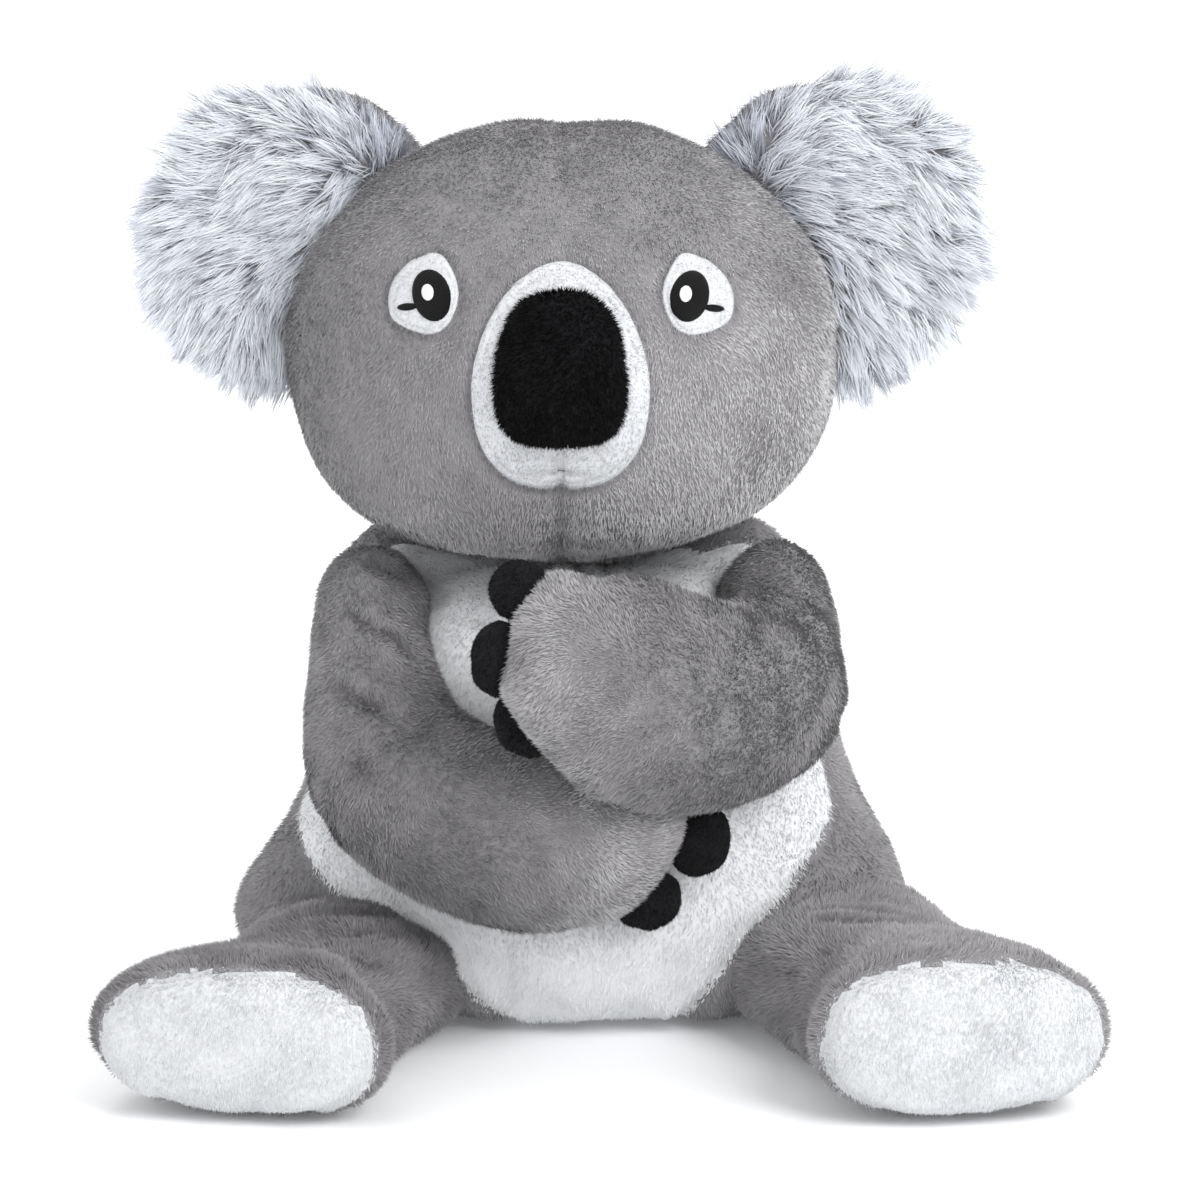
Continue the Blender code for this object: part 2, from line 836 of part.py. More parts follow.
def build_claws(name, side, felt, pivot, rest):
    """Three tabs fanned over the end of the paw, each cut by the paw it is sewn into and by what lies over it."""
    stations = arm_stations(side)
    (before, _, _), (last, half_up, _) = stations[-2:]
    along = (last - before).normalized()
    across = along.cross(Vector((0, 0, 1))).normalized()
    upward = across.cross(along)
    end = last + along * hand_cap
    room = arm_tube(side, -gap)
    for label, step in (("upper", 1), ("middle", 0), ("lower", -1)):
        drop = (1 - math.sqrt(max(1 - (step * claw_spread / half_up) ** 2, 0))) * hand_cap
        place = end + upward * step * claw_spread - along * drop
        if side == RIGHT and label == "upper":
            place.y += claw_tuck
        fan = math.atan2(step * claw_spread, half_up)
        outward = (along * math.cos(fan) + upward * math.sin(fan)).normalized()
        tab = ball("tab", Vector(), (claw_reach + claw_root, claw_half_width, claw_thick / 2), small_facets)
        frame = Matrix((outward, across.cross(outward), across)).transposed().to_4x4()
        tab.data.transform(Matrix.Translation(place - outward * claw_root) @ frame)
        minus_many(tab, room, *rest)
        finish(tab, f"{name}_{label}_claw", felt, pivot)
    discard(room, *rest)


def leg_solid(name, side, inset, floor_gap):
    """A leg on its round root, clear of the torso as it swings and flat on the ground."""
    piece = hip_ball(side, inset)
    piece.name = name
    reach = leg_tube(side, inset)
    body = torso_form("body", -gap - swing_room - inset)
    upright = Vector((0, 0, 1))
    angles = (leg_close, -leg_spread / 2, -leg_spread)
    swept = [turned("swept", body, hip_point(side), upright, side * angle) for angle in angles]
    block = level_block("ground", -overrun, floor_gap, 8 * hip_apart)
    minus_many(reach, *swept)
    plus_many(piece, reach)
    minus_many(piece, block)
    discard(body, reach, block, *swept)
    return piece


def sole_block(name, side, grow):
    """The oval column through the end of a foot that marks out its sole."""
    stations = leg_stations(side)
    (before, _, _), (last, half_up, _) = stations[-2:]
    along = Vector((last.x - before.x, last.y - before.y, 0)).normalized()
    form = bmesh.new()
    corners = ring_corners(sole_half_width + grow, sole_half_height + grow, sole_squareness, limb_facets + 4)
    face = form.faces.new([form.verts.new((x, 0, z)) for x, z in corners])
    grown = bmesh.ops.extrude_face_region(form, geom=[face])
    moved = [v for v in grown["geom"] if isinstance(v, bmesh.types.BMVert)]
    bmesh.ops.translate(form, vec=(0, -foot_cap - overrun, 0), verts=moved)
    turn = Vector((0, -1, 0)).rotation_difference(along).to_matrix().to_4x4()
    form.transform(Matrix.Translation(Vector((last.x, last.y, half_up + sole_lift))) @ turn)
    return solid(name, form)


def build_leg(name, side, grey, white, stuffing, pivot):
    cover = leg_solid("cover", side, 0, 0)
    inner = leg_solid("inner", side, cloth, cloth)
    filling = leg_solid("filling", side, cloth + filling_room, cloth + filling_room)
    minus_many(cover, inner)
    sole = turned("sole", cover, Vector(), Vector((0, 0, 1)), 0)
    block = sole_block("block", side, 0)
    hole = sole_block("hole", side, gap)
    within_many(sole, block)
    minus_many(cover, hole)
    finish(cover, f"{name}_leg_cover", grey, pivot)
    finish(filling, f"{name}_leg_filling", stuffing, pivot)
    finish(sole, f"{name}_sole", white, pivot)
    discard(inner, block, hole)


def nothing_else(inset):
    return []


def left_arm_over(inset):
    """The left arm as the right one meets it while both open, for cutting the right one back."""
    arm = arm_solid("over", LEFT, -gap - inset, [])
    meets = []
    for share in (0.0, 0.08, 0.25):
        swing = share * left_arm_swing
        opened = turned("opened", arm, shoulder_point(LEFT), arm_axis(LEFT), swing)
        back = turned("met", opened, shoulder_point(RIGHT), arm_axis(RIGHT), swing * arm_ratio)
        discard(opened)
        meets.append(back)
    discard(arm)
    return meets


def main():
    clear_scene()
    grey = cloth_material("grey_plush", (0.19, 0.185, 0.195), 0.9)
    white = cloth_material("white_plush", (0.78, 0.79, 0.80), 0.9)
    black = cloth_material("black_plush", (0.012, 0.012, 0.014), 0.75)
    felt = cloth_material("black_felt", (0.014, 0.014, 0.016), 0.95)
    thread = cloth_material("black_thread", (0.01, 0.01, 0.01), 0.5)
    glint = cloth_material("white_thread", (0.85, 0.85, 0.85), 0.5)
    fur = cloth_material("tipped_fur", (0.62, 0.63, 0.67), 0.85)
    stuffing = cloth_material("stuffing", (0.9, 0.9, 0.88), 1.0)
    beads = cloth_material("bead_pouch", (0.75, 0.72, 0.66), 0.9)

    build_torso(grey, white, stuffing, beads)
    neck = pivot_at("neck_turn_pivot", neck_point())
    build_neck(grey, neck)
    head = pivot_at("head_nod_pivot", neck_point(), neck)
    build_head(grey, stuffing, head)
    build_face(white, black, thread, glint, head)
    for name, side in SIDES.items():
        ear = pivot_at(f"{name}_ear_pivot", ear_root_point(side), head)
        build_ear(name, side, fur, grey, ear)
        leg = pivot_at(f"{name}_hip_pivot", hip_point(side))
        build_leg(name, side, grey, white, stuffing, leg)
        arm = pivot_at(f"{name}_shoulder_pivot", shoulder_point(side))
        build_arm(name, side, grey, felt, stuffing, arm, nothing_else if side == LEFT else left_arm_over)


main()
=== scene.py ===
# %% [markdown]
# # A seated plush koala
#
# This is a soft toy: sewn covers of short-pile plush over fibre filling, long-pile ears, felt claw
# tabs and thread eyes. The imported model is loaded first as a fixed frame. It says where each piece
# is and what it turns on. Everything after that gives each piece its true look.

# %% Load the frame
import math

import bpy
import numpy as np
from mathutils import Matrix, Vector
from mathutils.bvhtree import BVHTree
from mathutils.kdtree import KDTree


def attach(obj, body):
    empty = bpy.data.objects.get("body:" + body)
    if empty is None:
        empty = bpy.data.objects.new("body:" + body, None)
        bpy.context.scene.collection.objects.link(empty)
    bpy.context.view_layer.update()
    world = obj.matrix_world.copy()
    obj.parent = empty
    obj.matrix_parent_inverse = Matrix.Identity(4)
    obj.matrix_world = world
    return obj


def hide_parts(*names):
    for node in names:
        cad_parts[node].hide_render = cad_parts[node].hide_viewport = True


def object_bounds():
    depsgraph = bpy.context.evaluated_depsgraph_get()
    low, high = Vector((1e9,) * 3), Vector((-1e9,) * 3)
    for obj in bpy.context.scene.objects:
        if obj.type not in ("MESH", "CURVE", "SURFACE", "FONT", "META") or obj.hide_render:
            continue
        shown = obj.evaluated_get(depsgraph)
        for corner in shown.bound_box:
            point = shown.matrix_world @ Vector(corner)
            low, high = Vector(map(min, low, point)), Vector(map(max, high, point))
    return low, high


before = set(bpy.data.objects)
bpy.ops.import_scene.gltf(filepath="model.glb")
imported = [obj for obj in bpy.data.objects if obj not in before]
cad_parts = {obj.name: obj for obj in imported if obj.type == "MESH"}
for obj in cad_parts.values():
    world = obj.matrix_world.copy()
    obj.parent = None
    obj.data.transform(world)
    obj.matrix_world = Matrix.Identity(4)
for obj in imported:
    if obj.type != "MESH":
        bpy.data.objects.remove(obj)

cad_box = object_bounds()
print("solids' box", [round(v, 4) for corner in cad_box for v in corner])

# %% [markdown]
# ## Getting the view ready
#
# A product photograph like this one is taken from a little above, with a long lens, on white. The
# camera stands 2.2 m away and 12 degrees up, so that near and far parts keep almost the same scale.
# It is made first, so that each later step can be looked at.

# %% Camera
camera_data = bpy.data.cameras.new("camera")
camera_data.sensor_width = 36
camera_data.lens = 157.1  # fills the frame as the photograph does
camera_data.clip_end = 30
camera = bpy.data.objects.new("camera", camera_data)
bpy.context.scene.collection.objects.link(camera)
aim = Vector((0, -0.06, 0.187))
rise, stands_off = math.radians(12), 2.2
back = Vector((0, -math.cos(rise), math.sin(rise)))
camera.location = aim + back * stands_off
camera.rotation_mode = "QUATERNION"
camera.rotation_quaternion = (-back).to_track_quat("-Z", "Y")
bpy.context.scene.camera = camera
print("camera at", [round(v, 3) for v in camera.location])

# %% [markdown]
# ## Small helpers for modelling
#
# Blender's operators act on whatever is selected. So each step starts by deselecting everything
# and picking the piece that it works on. Points are moved all at once with numpy, which is the same
# as pushing and pulling them with a sculpting brush, but repeatable.

# %% Selecting, reading and writing points
def let_go():
    if bpy.context.object and bpy.context.object.mode != "OBJECT":
        bpy.ops.object.mode_set(mode="OBJECT")
    bpy.ops.object.select_all(action="DESELECT")


def pick(piece):
    let_go()
    bpy.context.view_layer.objects.active = piece
    piece.select_set(True)
    return piece


def rows_of(piece, kind):
    values = np.empty(len(piece.data.vertices) * 3, dtype=np.float32)
    piece.data.vertices.foreach_get(kind, values)
    return values.reshape(-1, 3).astype(float)


def points_of(piece):
    return rows_of(piece, "co")


def normals_of(piece):
    return rows_of(piece, "normal")


def put_points(piece, points):
    piece.data.vertices.foreach_set("co", np.asarray(points, dtype=np.float32).ravel())
    piece.data.update()


def unit(rows):
    return rows / np.maximum(np.linalg.norm(rows, axis=-1, keepdims=True), 1e-9)


def smooth_step(low, high, values):
    t = np.clip((values - low) / (high - low), 0, 1)
    return t * t * (3 - 2 * t)


def ripple(points, size, seed):
    """A smooth random field between about -1 and 1, whose lumps are `size` across."""
    chance = np.random.default_rng(seed)
    total = np.zeros(len(points))
    for _ in range(9):
        wave = unit(chance.normal(size=3)) * chance.uniform(0.6, 1.4) * math.pi / size
        total += np.sin(points @ wave + chance.uniform(0, 2 * math.pi))
    return total / 3


def finish_with(piece, kind, **settings):
    """Adds a modifier, sets it and applies it."""
    pick(piece)
    modifier = piece.modifiers.new(kind.lower(), kind)
    for key, value in settings.items():
        setattr(modifier, key, value)
    bpy.ops.object.modifier_apply(modifier=modifier.name)
    return piece


def subdivide(piece, levels):
    return finish_with(piece, "SUBSURF", levels=levels, render_levels=levels)


def even_out(piece, size):
    """Remeshes the piece into even quads, which smooths its poles away."""
    return finish_with(piece, "REMESH", mode="VOXEL", voxel_size=size)


def relax(piece, factor, times):
    return finish_with(piece, "SMOOTH", factor=factor, iterations=times)


def weld(piece, gap):
    """Merges points that lie within a small gap, turns every face outward, and sorts the faces.

    The ball that these pieces start from has the same points each run, but its faces come in
    another order each time. Sorted, they give the same pile on every run.
    """
    pick(piece)
    bpy.ops.object.mode_set(mode="EDIT")
    bpy.ops.mesh.select_all(action="SELECT")
    bpy.ops.mesh.remove_doubles(threshold=gap)
    bpy.ops.mesh.normals_make_consistent(inside=False)
    bpy.ops.object.mode_set(mode="OBJECT")
    points, faces = points_of(piece), [np.array(face.vertices) for face in piece.data.polygons]
    faces = sorted(tuple(np.roll(face, -face.argmin()).tolist()) for face in faces)
    piece.data.clear_geometry()
    piece.data.from_pydata(points, [], faces)
    return piece


# %% [markdown]
# ## Ribs and skins
#
# A stuffed form is sewn from panels, but what one sees is a skin that swells and tapers. It could be
# sculpted from a ball. Here it is bridged over oval ribs, as a boat is, because each rib can be set
# to a width and a height measured on the photograph. Circles are added at their places in edit mode,
# squared a little, bridged, closed at both ends and subdivided.

# %% A skin bridged over ribs
def ribbed_form(name, ribs, sides=24, squareness=2.0, levels=2):
    """Each rib is (middle, direction across, direction up, half across, half up)."""
    let_go()
    piece = bpy.data.objects.new(name, bpy.data.meshes.new(name))
    bpy.context.scene.collection.objects.link(piece)
    pick(piece)
    bpy.ops.object.mode_set(mode="EDIT")
    for middle, across, up, _, _ in ribs:
        facing = Matrix((across, up, Vector(across).cross(Vector(up)))).transposed().to_euler()
        bpy.ops.mesh.primitive_circle_add(vertices=sides, location=middle, rotation=facing)
    bpy.ops.object.mode_set(mode="OBJECT")
    angles = (np.arange(sides) + 0.5) * 2 * math.pi / sides
    c, s = np.cos(angles), np.sin(angles)
    round_x = np.sign(c) * np.abs(c) ** (2 / squareness)
    round_y = np.sign(s) * np.abs(s) ** (2 / squareness)
    points = [
        np.array(middle) + np.outer(round_x * half_x, across) + np.outer(round_y * half_y, up)
        for middle, across, up, half_x, half_y in ribs
    ]
    put_points(piece, np.concatenate(points))
    pick(piece)
    bpy.ops.object.mode_set(mode="EDIT")
    bpy.ops.mesh.select_all(action="SELECT")
    bpy.ops.mesh.bridge_edge_loops()
    bpy.ops.mesh.select_all(action="DESELECT")
    bpy.ops.mesh.select_mode(type="EDGE")
    bpy.ops.mesh.select_non_manifold(
        extend=False, use_wire=False, use_multi_face=False, use_non_contiguous=False, use_verts=False)
    bpy.ops.mesh.edge_face_add()
    bpy.ops.mesh.select_all(action="SELECT")
    bpy.ops.mesh.normals_make_consistent(inside=False)
    bpy.ops.object.mode_set(mode="OBJECT")
    assert len(piece.data.polygons) == sides * (len(ribs) - 1) + 2, name
    return subdivide(piece, levels)


def row_between(rows, place):
    """The numbers after the first of each row, read at a place between rows on a smooth curve."""
    keys = np.array([row[0] for row in rows], dtype=float)
    low = int(np.clip(np.searchsorted(keys, place, side="right") - 1, 0, len(rows) - 2))
    around = (max(low - 1, 0), low, low + 1, min(low + 2, len(rows) - 1))
    p = [np.array(rows[i][1:], dtype=float) for i in around]
    k = [keys[i] for i in around]
    span = k[2] - k[1]
    t = (place - k[1]) / span
    slope_in = (p[2] - p[0]) / (k[2] - k[0]) * span
    slope_out = (p[3] - p[1]) / (k[3] - k[1]) * span
    eased = (2 * t**3 - 3 * t**2 + 1) * p[1] + (t**3 - 2 * t**2 + t) * slope_in
    return eased + (3 * t**2 - 2 * t**3) * p[2] + (t**3 - t**2) * slope_out


# %% [markdown]
# ## Panels of another colour
#
# A belly or a sole is cut from white plush and sewn in. Painting it on the grey skin would do from
# afar, but a separate piece is truer and keeps one finish to one cloth. The skin is formed whole, so
# that both sides of the seam match, and the panel's faces are then separated from it.

# %% Part a panel off
def part_off(skin, inside, name):
    """Separates the faces whose every point is inside, and gives them back as a piece of their own."""
    mesh = skin.data
    held = inside(points_of(skin))
    faces = np.array([all(held[i] for i in polygon.vertices) for polygon in mesh.polygons])
    pick(skin)
    bpy.ops.object.mode_set(mode="EDIT")
    bpy.ops.mesh.select_mode(type="FACE")
    bpy.ops.mesh.select_all(action="DESELECT")
    bpy.ops.object.mode_set(mode="OBJECT")
    mesh.polygons.foreach_set("select", faces)
    bpy.ops.object.mode_set(mode="EDIT")
    bpy.ops.mesh.separate(type="SELECTED")
    bpy.ops.object.mode_set(mode="OBJECT")
    panel = next(thing for thing in bpy.context.selected_objects if thing != skin)
    panel.name = panel.data.name = name
    print(name, len(panel.data.polygons), "faces,", skin.name, len(mesh.polygons))
    return panel


# %% [markdown]
# ## Staying off the neighbours
#
# Stuffed limbs press on each other and flatten where they touch. The same happens here in one step:
# every point that would be inside the neighbour is moved to its surface, plus a small clearance.

# %% Tree of faces and pressing
def tree_of(piece):
    mesh = piece.data
    corners = [tuple(v.co) for v in mesh.vertices]
    return BVHTree.FromPolygons(corners, [tuple(p.vertices) for p in mesh.polygons])


def press(piece, tree, clearance, spare=None, spare_radius=0.0, soft=0.006):
    """Moves points out of the neighbour, but not near the place that the piece is sewn at."""
    points = points_of(piece)
    moved = 0
    for i, point in enumerate(points):
        near, normal, _, _ = tree.find_nearest(Vector(point), 0.08)
        if near is None:
            continue
        height = (Vector(point) - near).dot(normal)
        if height >= clearance:
            continue
        hold = 1.0
        if spare is not None:
            away = (Vector(point) - spare).length
            hold = float(smooth_step(spare_radius, spare_radius + soft, away))
        points[i] = point + np.array(normal) * (clearance - height) * hold
        moved += 1
    put_points(piece, points)
    print(piece.name, "pressed at", moved, "of", len(points), "points")
    return piece


def clear_of(points, tree):
    """Which points are outside a closed skin."""
    nearest = [tree.find_nearest(Vector(point)) for point in points]
    return np.array([(Vector(point) - near).dot(normal) > 0
                     for point, (near, normal, _, _) in zip(points, nearest)])


def along_and_away(points, start, end):
    """How far along a line each point is, from 0 to 1, and its distance from the line."""
    start, end = np.array(start, dtype=float), np.array(end, dtype=float)
    line = end - start
    share = np.clip(((points - start) @ line) / (line @ line), 0, 1)
    return share, np.linalg.norm(points - start - share[:, None] * line, axis=1)


# %% [markdown]
# ## Stuffing
#
# A sewn cover swells between its seams when it is filled. A coarse copy of the skin is simulated as
# cloth that is held at its seams and blown up from inside, without gravity. The copy only shows how
# the cloth moves: its movement, less the even swelling and up to a small cap, is given to the skin.

# %% Cloth simulation
def stuff(skin, held_at, cap=0.0030, growth=0.03):
    let_go()
    copy = skin.copy()
    copy.data = skin.data.copy()
    bpy.context.scene.collection.objects.link(copy)
    even_out(copy, 0.0050)
    before = points_of(copy)
    outward = normals_of(copy)
    sewn = copy.vertex_groups.new(name="sewn")
    sewn.add([int(i) for i in np.nonzero(held_at(before))[0]], 1.0, "REPLACE")
    cloth = copy.modifiers.new("cloth", "CLOTH").settings
    cloth.use_pressure = True
    cloth.uniform_pressure_force = 4.0
    cloth.effector_weights.gravity = 0
    cloth.vertex_group_mass = "sewn"
    cloth.shrink_min = -growth
    cloth.quality = 6
    cloth.mass = 0.25
    cloth.bending_stiffness = 0.3
    copy.modifiers["cloth"].collision_settings.use_collision = False
    for frame_number in range(1, 21):
        bpy.context.scene.frame_set(frame_number)
    settled = copy.evaluated_get(bpy.context.evaluated_depsgraph_get())
    after = np.empty(len(before) * 3, dtype=np.float32)
    settled.data.vertices.foreach_get("co", after)
    shift = after.reshape(-1, 3) - before
    even = np.median((shift * outward).sum(1))
    shift -= outward * even
    shift *= np.minimum(1, cap / np.maximum(np.linalg.norm(shift, axis=1), 1e-9))[:, None]
    bpy.context.scene.frame_set(1)
    bpy.data.objects.remove(copy)
    tree = KDTree(len(before))
    for i, point in enumerate(before):
        tree.insert(point, i)
    tree.balance()
    points = points_of(skin)
    for i, point in enumerate(points):
        near = tree.find_n(point, 5)
        weights = [1 / (away + 0.0008) ** 2 for _, _, away in near]
        moved = sum(shift[index] * weight for (_, index, _), weight in zip(near, weights))
        points[i] += moved / sum(weights)
    put_points(skin, points)
    print(skin.name, "stuffed: even swelling", round(float(even) * 1000, 2), "mm, relief up to",
          round(float(np.linalg.norm(shift, axis=1).max()) * 1000, 2), "mm")


# %% [markdown]
# ## Shader maths as plain expressions
#
# A node graph is a formula, and it reads best as one. This small class wraps a socket and gives it
# +, * and **, each of which adds a Math node. Colours never go through it: they are mixed.

# %% Sockets that can be added and multiplied
class Wire:
    def __init__(self, tree, socket):
        self.tree = tree
        self.socket = socket

    def node(self, kind, settings=(), inputs=(), out=0):
        return self.tree.node(kind, settings, inputs, out)

    def maths(self, operation, *values):
        numbered = {i: value for i, value in enumerate(values)}
        return self.node("ShaderNodeMath", {"operation": operation}, numbered)

    def __add__(self, other):
        return self.maths("ADD", self, other)

    def __mul__(self, other):
        return self.maths("MULTIPLY", self, other)

    def __pow__(self, other):
        return self.maths("POWER", self, other)


class Finish:
    """One material and the nodes that make it."""

    def __init__(self, name):
        self.material = bpy.data.materials.new(name)
        self.material.use_nodes = True
        self.nodes = self.material.node_tree.nodes
        self.links = self.material.node_tree.links
        self.shader = self.nodes["Principled BSDF"]

    def node(self, kind, settings=(), inputs=(), out=0):
        made = self.nodes.new(kind)
        for key, value in dict(settings).items():
            if key == "stops":
                ramp = made.color_ramp
                while len(ramp.elements) < len(value):
                    ramp.elements.new(0.5)
                for element, (place, colour) in zip(ramp.elements, value):
                    element.position = place
                    element.color = (*colour, 1)
            else:
                setattr(made, key, value)
        for key, value in dict(inputs).items():
            if isinstance(value, Wire):
                self.links.new(value.socket, made.inputs[key])
            else:
                made.inputs[key].default_value = value
        return Wire(self, made.outputs[out])

    def spot(self, scale, detail=2.0):
        """Noise in the piece's own space, between 0 and 1."""
        where = self.node("ShaderNodeTexCoord", out="Object")
        return self.node("ShaderNodeTexNoise", {}, {"Vector": where, "Scale": scale, "Detail": detail})

    def mix(self, share, low, high):
        """A colour between two, by a share."""
        made = self.node("ShaderNodeMix", {"data_type": "RGBA"}, {0: share}, out=2)
        for index, value in ((6, low), (7, high)):
            socket = made.socket.node.inputs[index]
            if isinstance(value, Wire):
                self.links.new(value.socket, socket)
            else:
                socket.default_value = (*value, 1)
        return made

    def bump(self, height, strength, depth):
        inputs = {"Strength": strength, "Distance": depth, "Height": height}
        return self.node("ShaderNodeBump", {}, inputs)

    def set(self, **values):
        names = {"colour": "Base Color", "rough": "Roughness", "normal": "Normal",
                 "sheen": "Sheen Weight", "sheen_rough": "Sheen Roughness",
                 "gloss": "Specular IOR Level"}
        for key, value in values.items():
            socket = self.shader.inputs[names[key]]
            if isinstance(value, Wire):
                self.links.new(value.socket, socket)
            elif isinstance(value, tuple):
                socket.default_value = (*value, 1)
            else:
                socket.default_value = value
        return self.material


# %% [markdown]
# ## Plush cloth and its pile
#
# Plush is a knitted back with a pile of fine fibres. Close to, one sees locks of pile that lie this
# way and that, light at their tips and dark in between. A bump alone looks like rubber, and hair
# curves can't be exported. So the pile is real geometry: thin blades planted on the skin, each one
# tapered, leaning along the nap. Each blade carries a small map: across it is the blade's own tone,
# up it is the height from root to tip. The finish reads both, so one finish serves every blade.

# %% The finish of a pile
def pile_finish(name, stops, root_dark=0.62, rough=0.85, sheen=0.3, gloss=0.15, root=None, bend=0.7):
    """Stops give the colour for a blade's tone, from 0 to 1. The root is darker than the tip: painted
    shade deep in the pile, and for tipped fur its own dark root.
    """
    fibre = Finish(name)
    place = fibre.node("ShaderNodeUVMap", {"uv_map": "OFBake"})
    parts = fibre.node("ShaderNodeSeparateXYZ", {}, {0: place}).socket.node
    tone, height = Wire(fibre, parts.outputs[0]), Wire(fibre, parts.outputs[1])
    tint = fibre.node("ShaderNodeValToRGB", {"stops": stops}, {0: tone})
    # Painted shade: each blade darkens towards its root, where the pile shades itself; tipped fur gets
    # its dyed root colour here too.
    shade = height ** bend * (1 - root_dark) + root_dark
    dark = fibre.mix(shade, root or tuple(c * 0.02 for c in stops[0][1]), tint)
    return fibre.set(colour=dark, rough=rough, sheen=sheen, sheen_rough=0.5, gloss=gloss)


# %% The finish of the cloth under the pile
def cloth_finish(name, deep, light):
    """The knitted back, seen between the blades: mottled, with a fine grain."""
    cloth = Finish(name)
    mottle, grain = cloth.spot(70, 4), cloth.spot(420, 3)
    tint = cloth.mix(mottle * 0.7 + grain * 0.3, deep, light)
    relief = cloth.bump(grain + mottle, 0.5, 0.0012)
    return cloth.set(colour=tint, rough=0.95, gloss=0.15, normal=relief)


# %% The colours of the toy
grey_stops = [(0.0, (0.09, 0.085, 0.090)), (0.3, (0.215, 0.207, 0.215)),
              (0.6, (0.39, 0.38, 0.388)), (1.0, (0.74, 0.73, 0.74))]
white_stops = [(0.0, (0.40, 0.41, 0.43)), (0.5, (0.70, 0.71, 0.72)), (1.0, (0.86, 0.865, 0.87))]
ear_stops = [(0.0, (0.05, 0.048, 0.058)), (0.3, (0.19, 0.19, 0.215)),
             (0.65, (0.68, 0.71, 0.80)), (1.0, (0.93, 0.955, 1.0))]
black_stops = [(0.0, (0.001, 0.001, 0.0012)), (0.6, (0.004, 0.004, 0.0042)),
               (1.0, (0.014, 0.0135, 0.014))]
grey_pile = pile_finish("grey pile", grey_stops)
white_pile = pile_finish("white pile", white_stops, root_dark=0.92, sheen=0.1)
ear_pile = pile_finish("tipped pile", ear_stops, root_dark=0.0, sheen=0.15,
                       root=(0.11, 0.108, 0.128), bend=0.58)
black_pile = pile_finish("black pile", black_stops, root_dark=0.5, rough=0.6, sheen=0.02, gloss=0.06)
# The grey back is darker than the grey pile: painted shade deep down between the blades.
grey_cloth = cloth_finish("grey plush back", (0.16, 0.155, 0.162), (0.28, 0.274, 0.282))
white_cloth = cloth_finish("white plush back", (0.66, 0.67, 0.69), (0.84, 0.85, 0.86))
patch_cloth = cloth_finish("white patch back", (0.54, 0.55, 0.57), (0.70, 0.71, 0.72))
black_cloth = cloth_finish("black plush back", (0.004, 0.004, 0.005), (0.014, 0.014, 0.016))
print("finishes made:", len(bpy.data.materials))


# %% [markdown]
# ## Planting pile
#
# Places are picked evenly over the skin, with a set seed so that every run is the same. Each blade
# leans along the nap. The nap follows one direction per piece, such as down the body, and swirls a
# little, as plush does once it has been stroked. A blade is shaded partly as the skin is, so that
# the pile looks soft and not like splinters.

# %% Places on a skin
def places_on(skin, count, seed):
    """Even random places, with the normal there."""
    chance = np.random.default_rng(seed)
    mesh = skin.data
    mesh.calc_loop_triangles()
    corners = np.empty(len(mesh.loop_triangles) * 3, dtype=np.int32)
    mesh.loop_triangles.foreach_get("vertices", corners)
    corners = corners.reshape(-1, 3)
    points, normals = points_of(skin), normals_of(skin)
    a, b, c = (points[corners[:, i]] for i in range(3))
    area = np.linalg.norm(np.cross(b - a, c - a), axis=1)
    chosen = np.searchsorted(np.cumsum(area) / area.sum(), chance.random(count))
    chosen = np.minimum(chosen, len(corners) - 1)
    u, v = chance.random(count), chance.random(count)
    over = u + v > 1
    u[over], v[over] = 1 - u[over], 1 - v[over]
    share = np.stack([1 - u - v, u, v], axis=1)[:, :, None]
    return (points[corners[chosen]] * share).sum(1), unit((normals[corners[chosen]] * share).sum(1))


def nap(points, normals, towards, swirl=0.6, size=0.03, seed=1):
    """How the pile lies: along the skin, towards a direction, and swirling a little."""
    towards = np.broadcast_to(np.asarray(towards, dtype=float), points.shape)
    along = unit(towards - normals * (towards * normals).sum(1, keepdims=True))
    across = np.cross(normals, along)
    turn = (swirl * (ripple(points, size, seed) + 0.5 * ripple(points, size / 3, seed + 1)))[:, None]
    return along * np.cos(turn) + across * np.sin(turn)


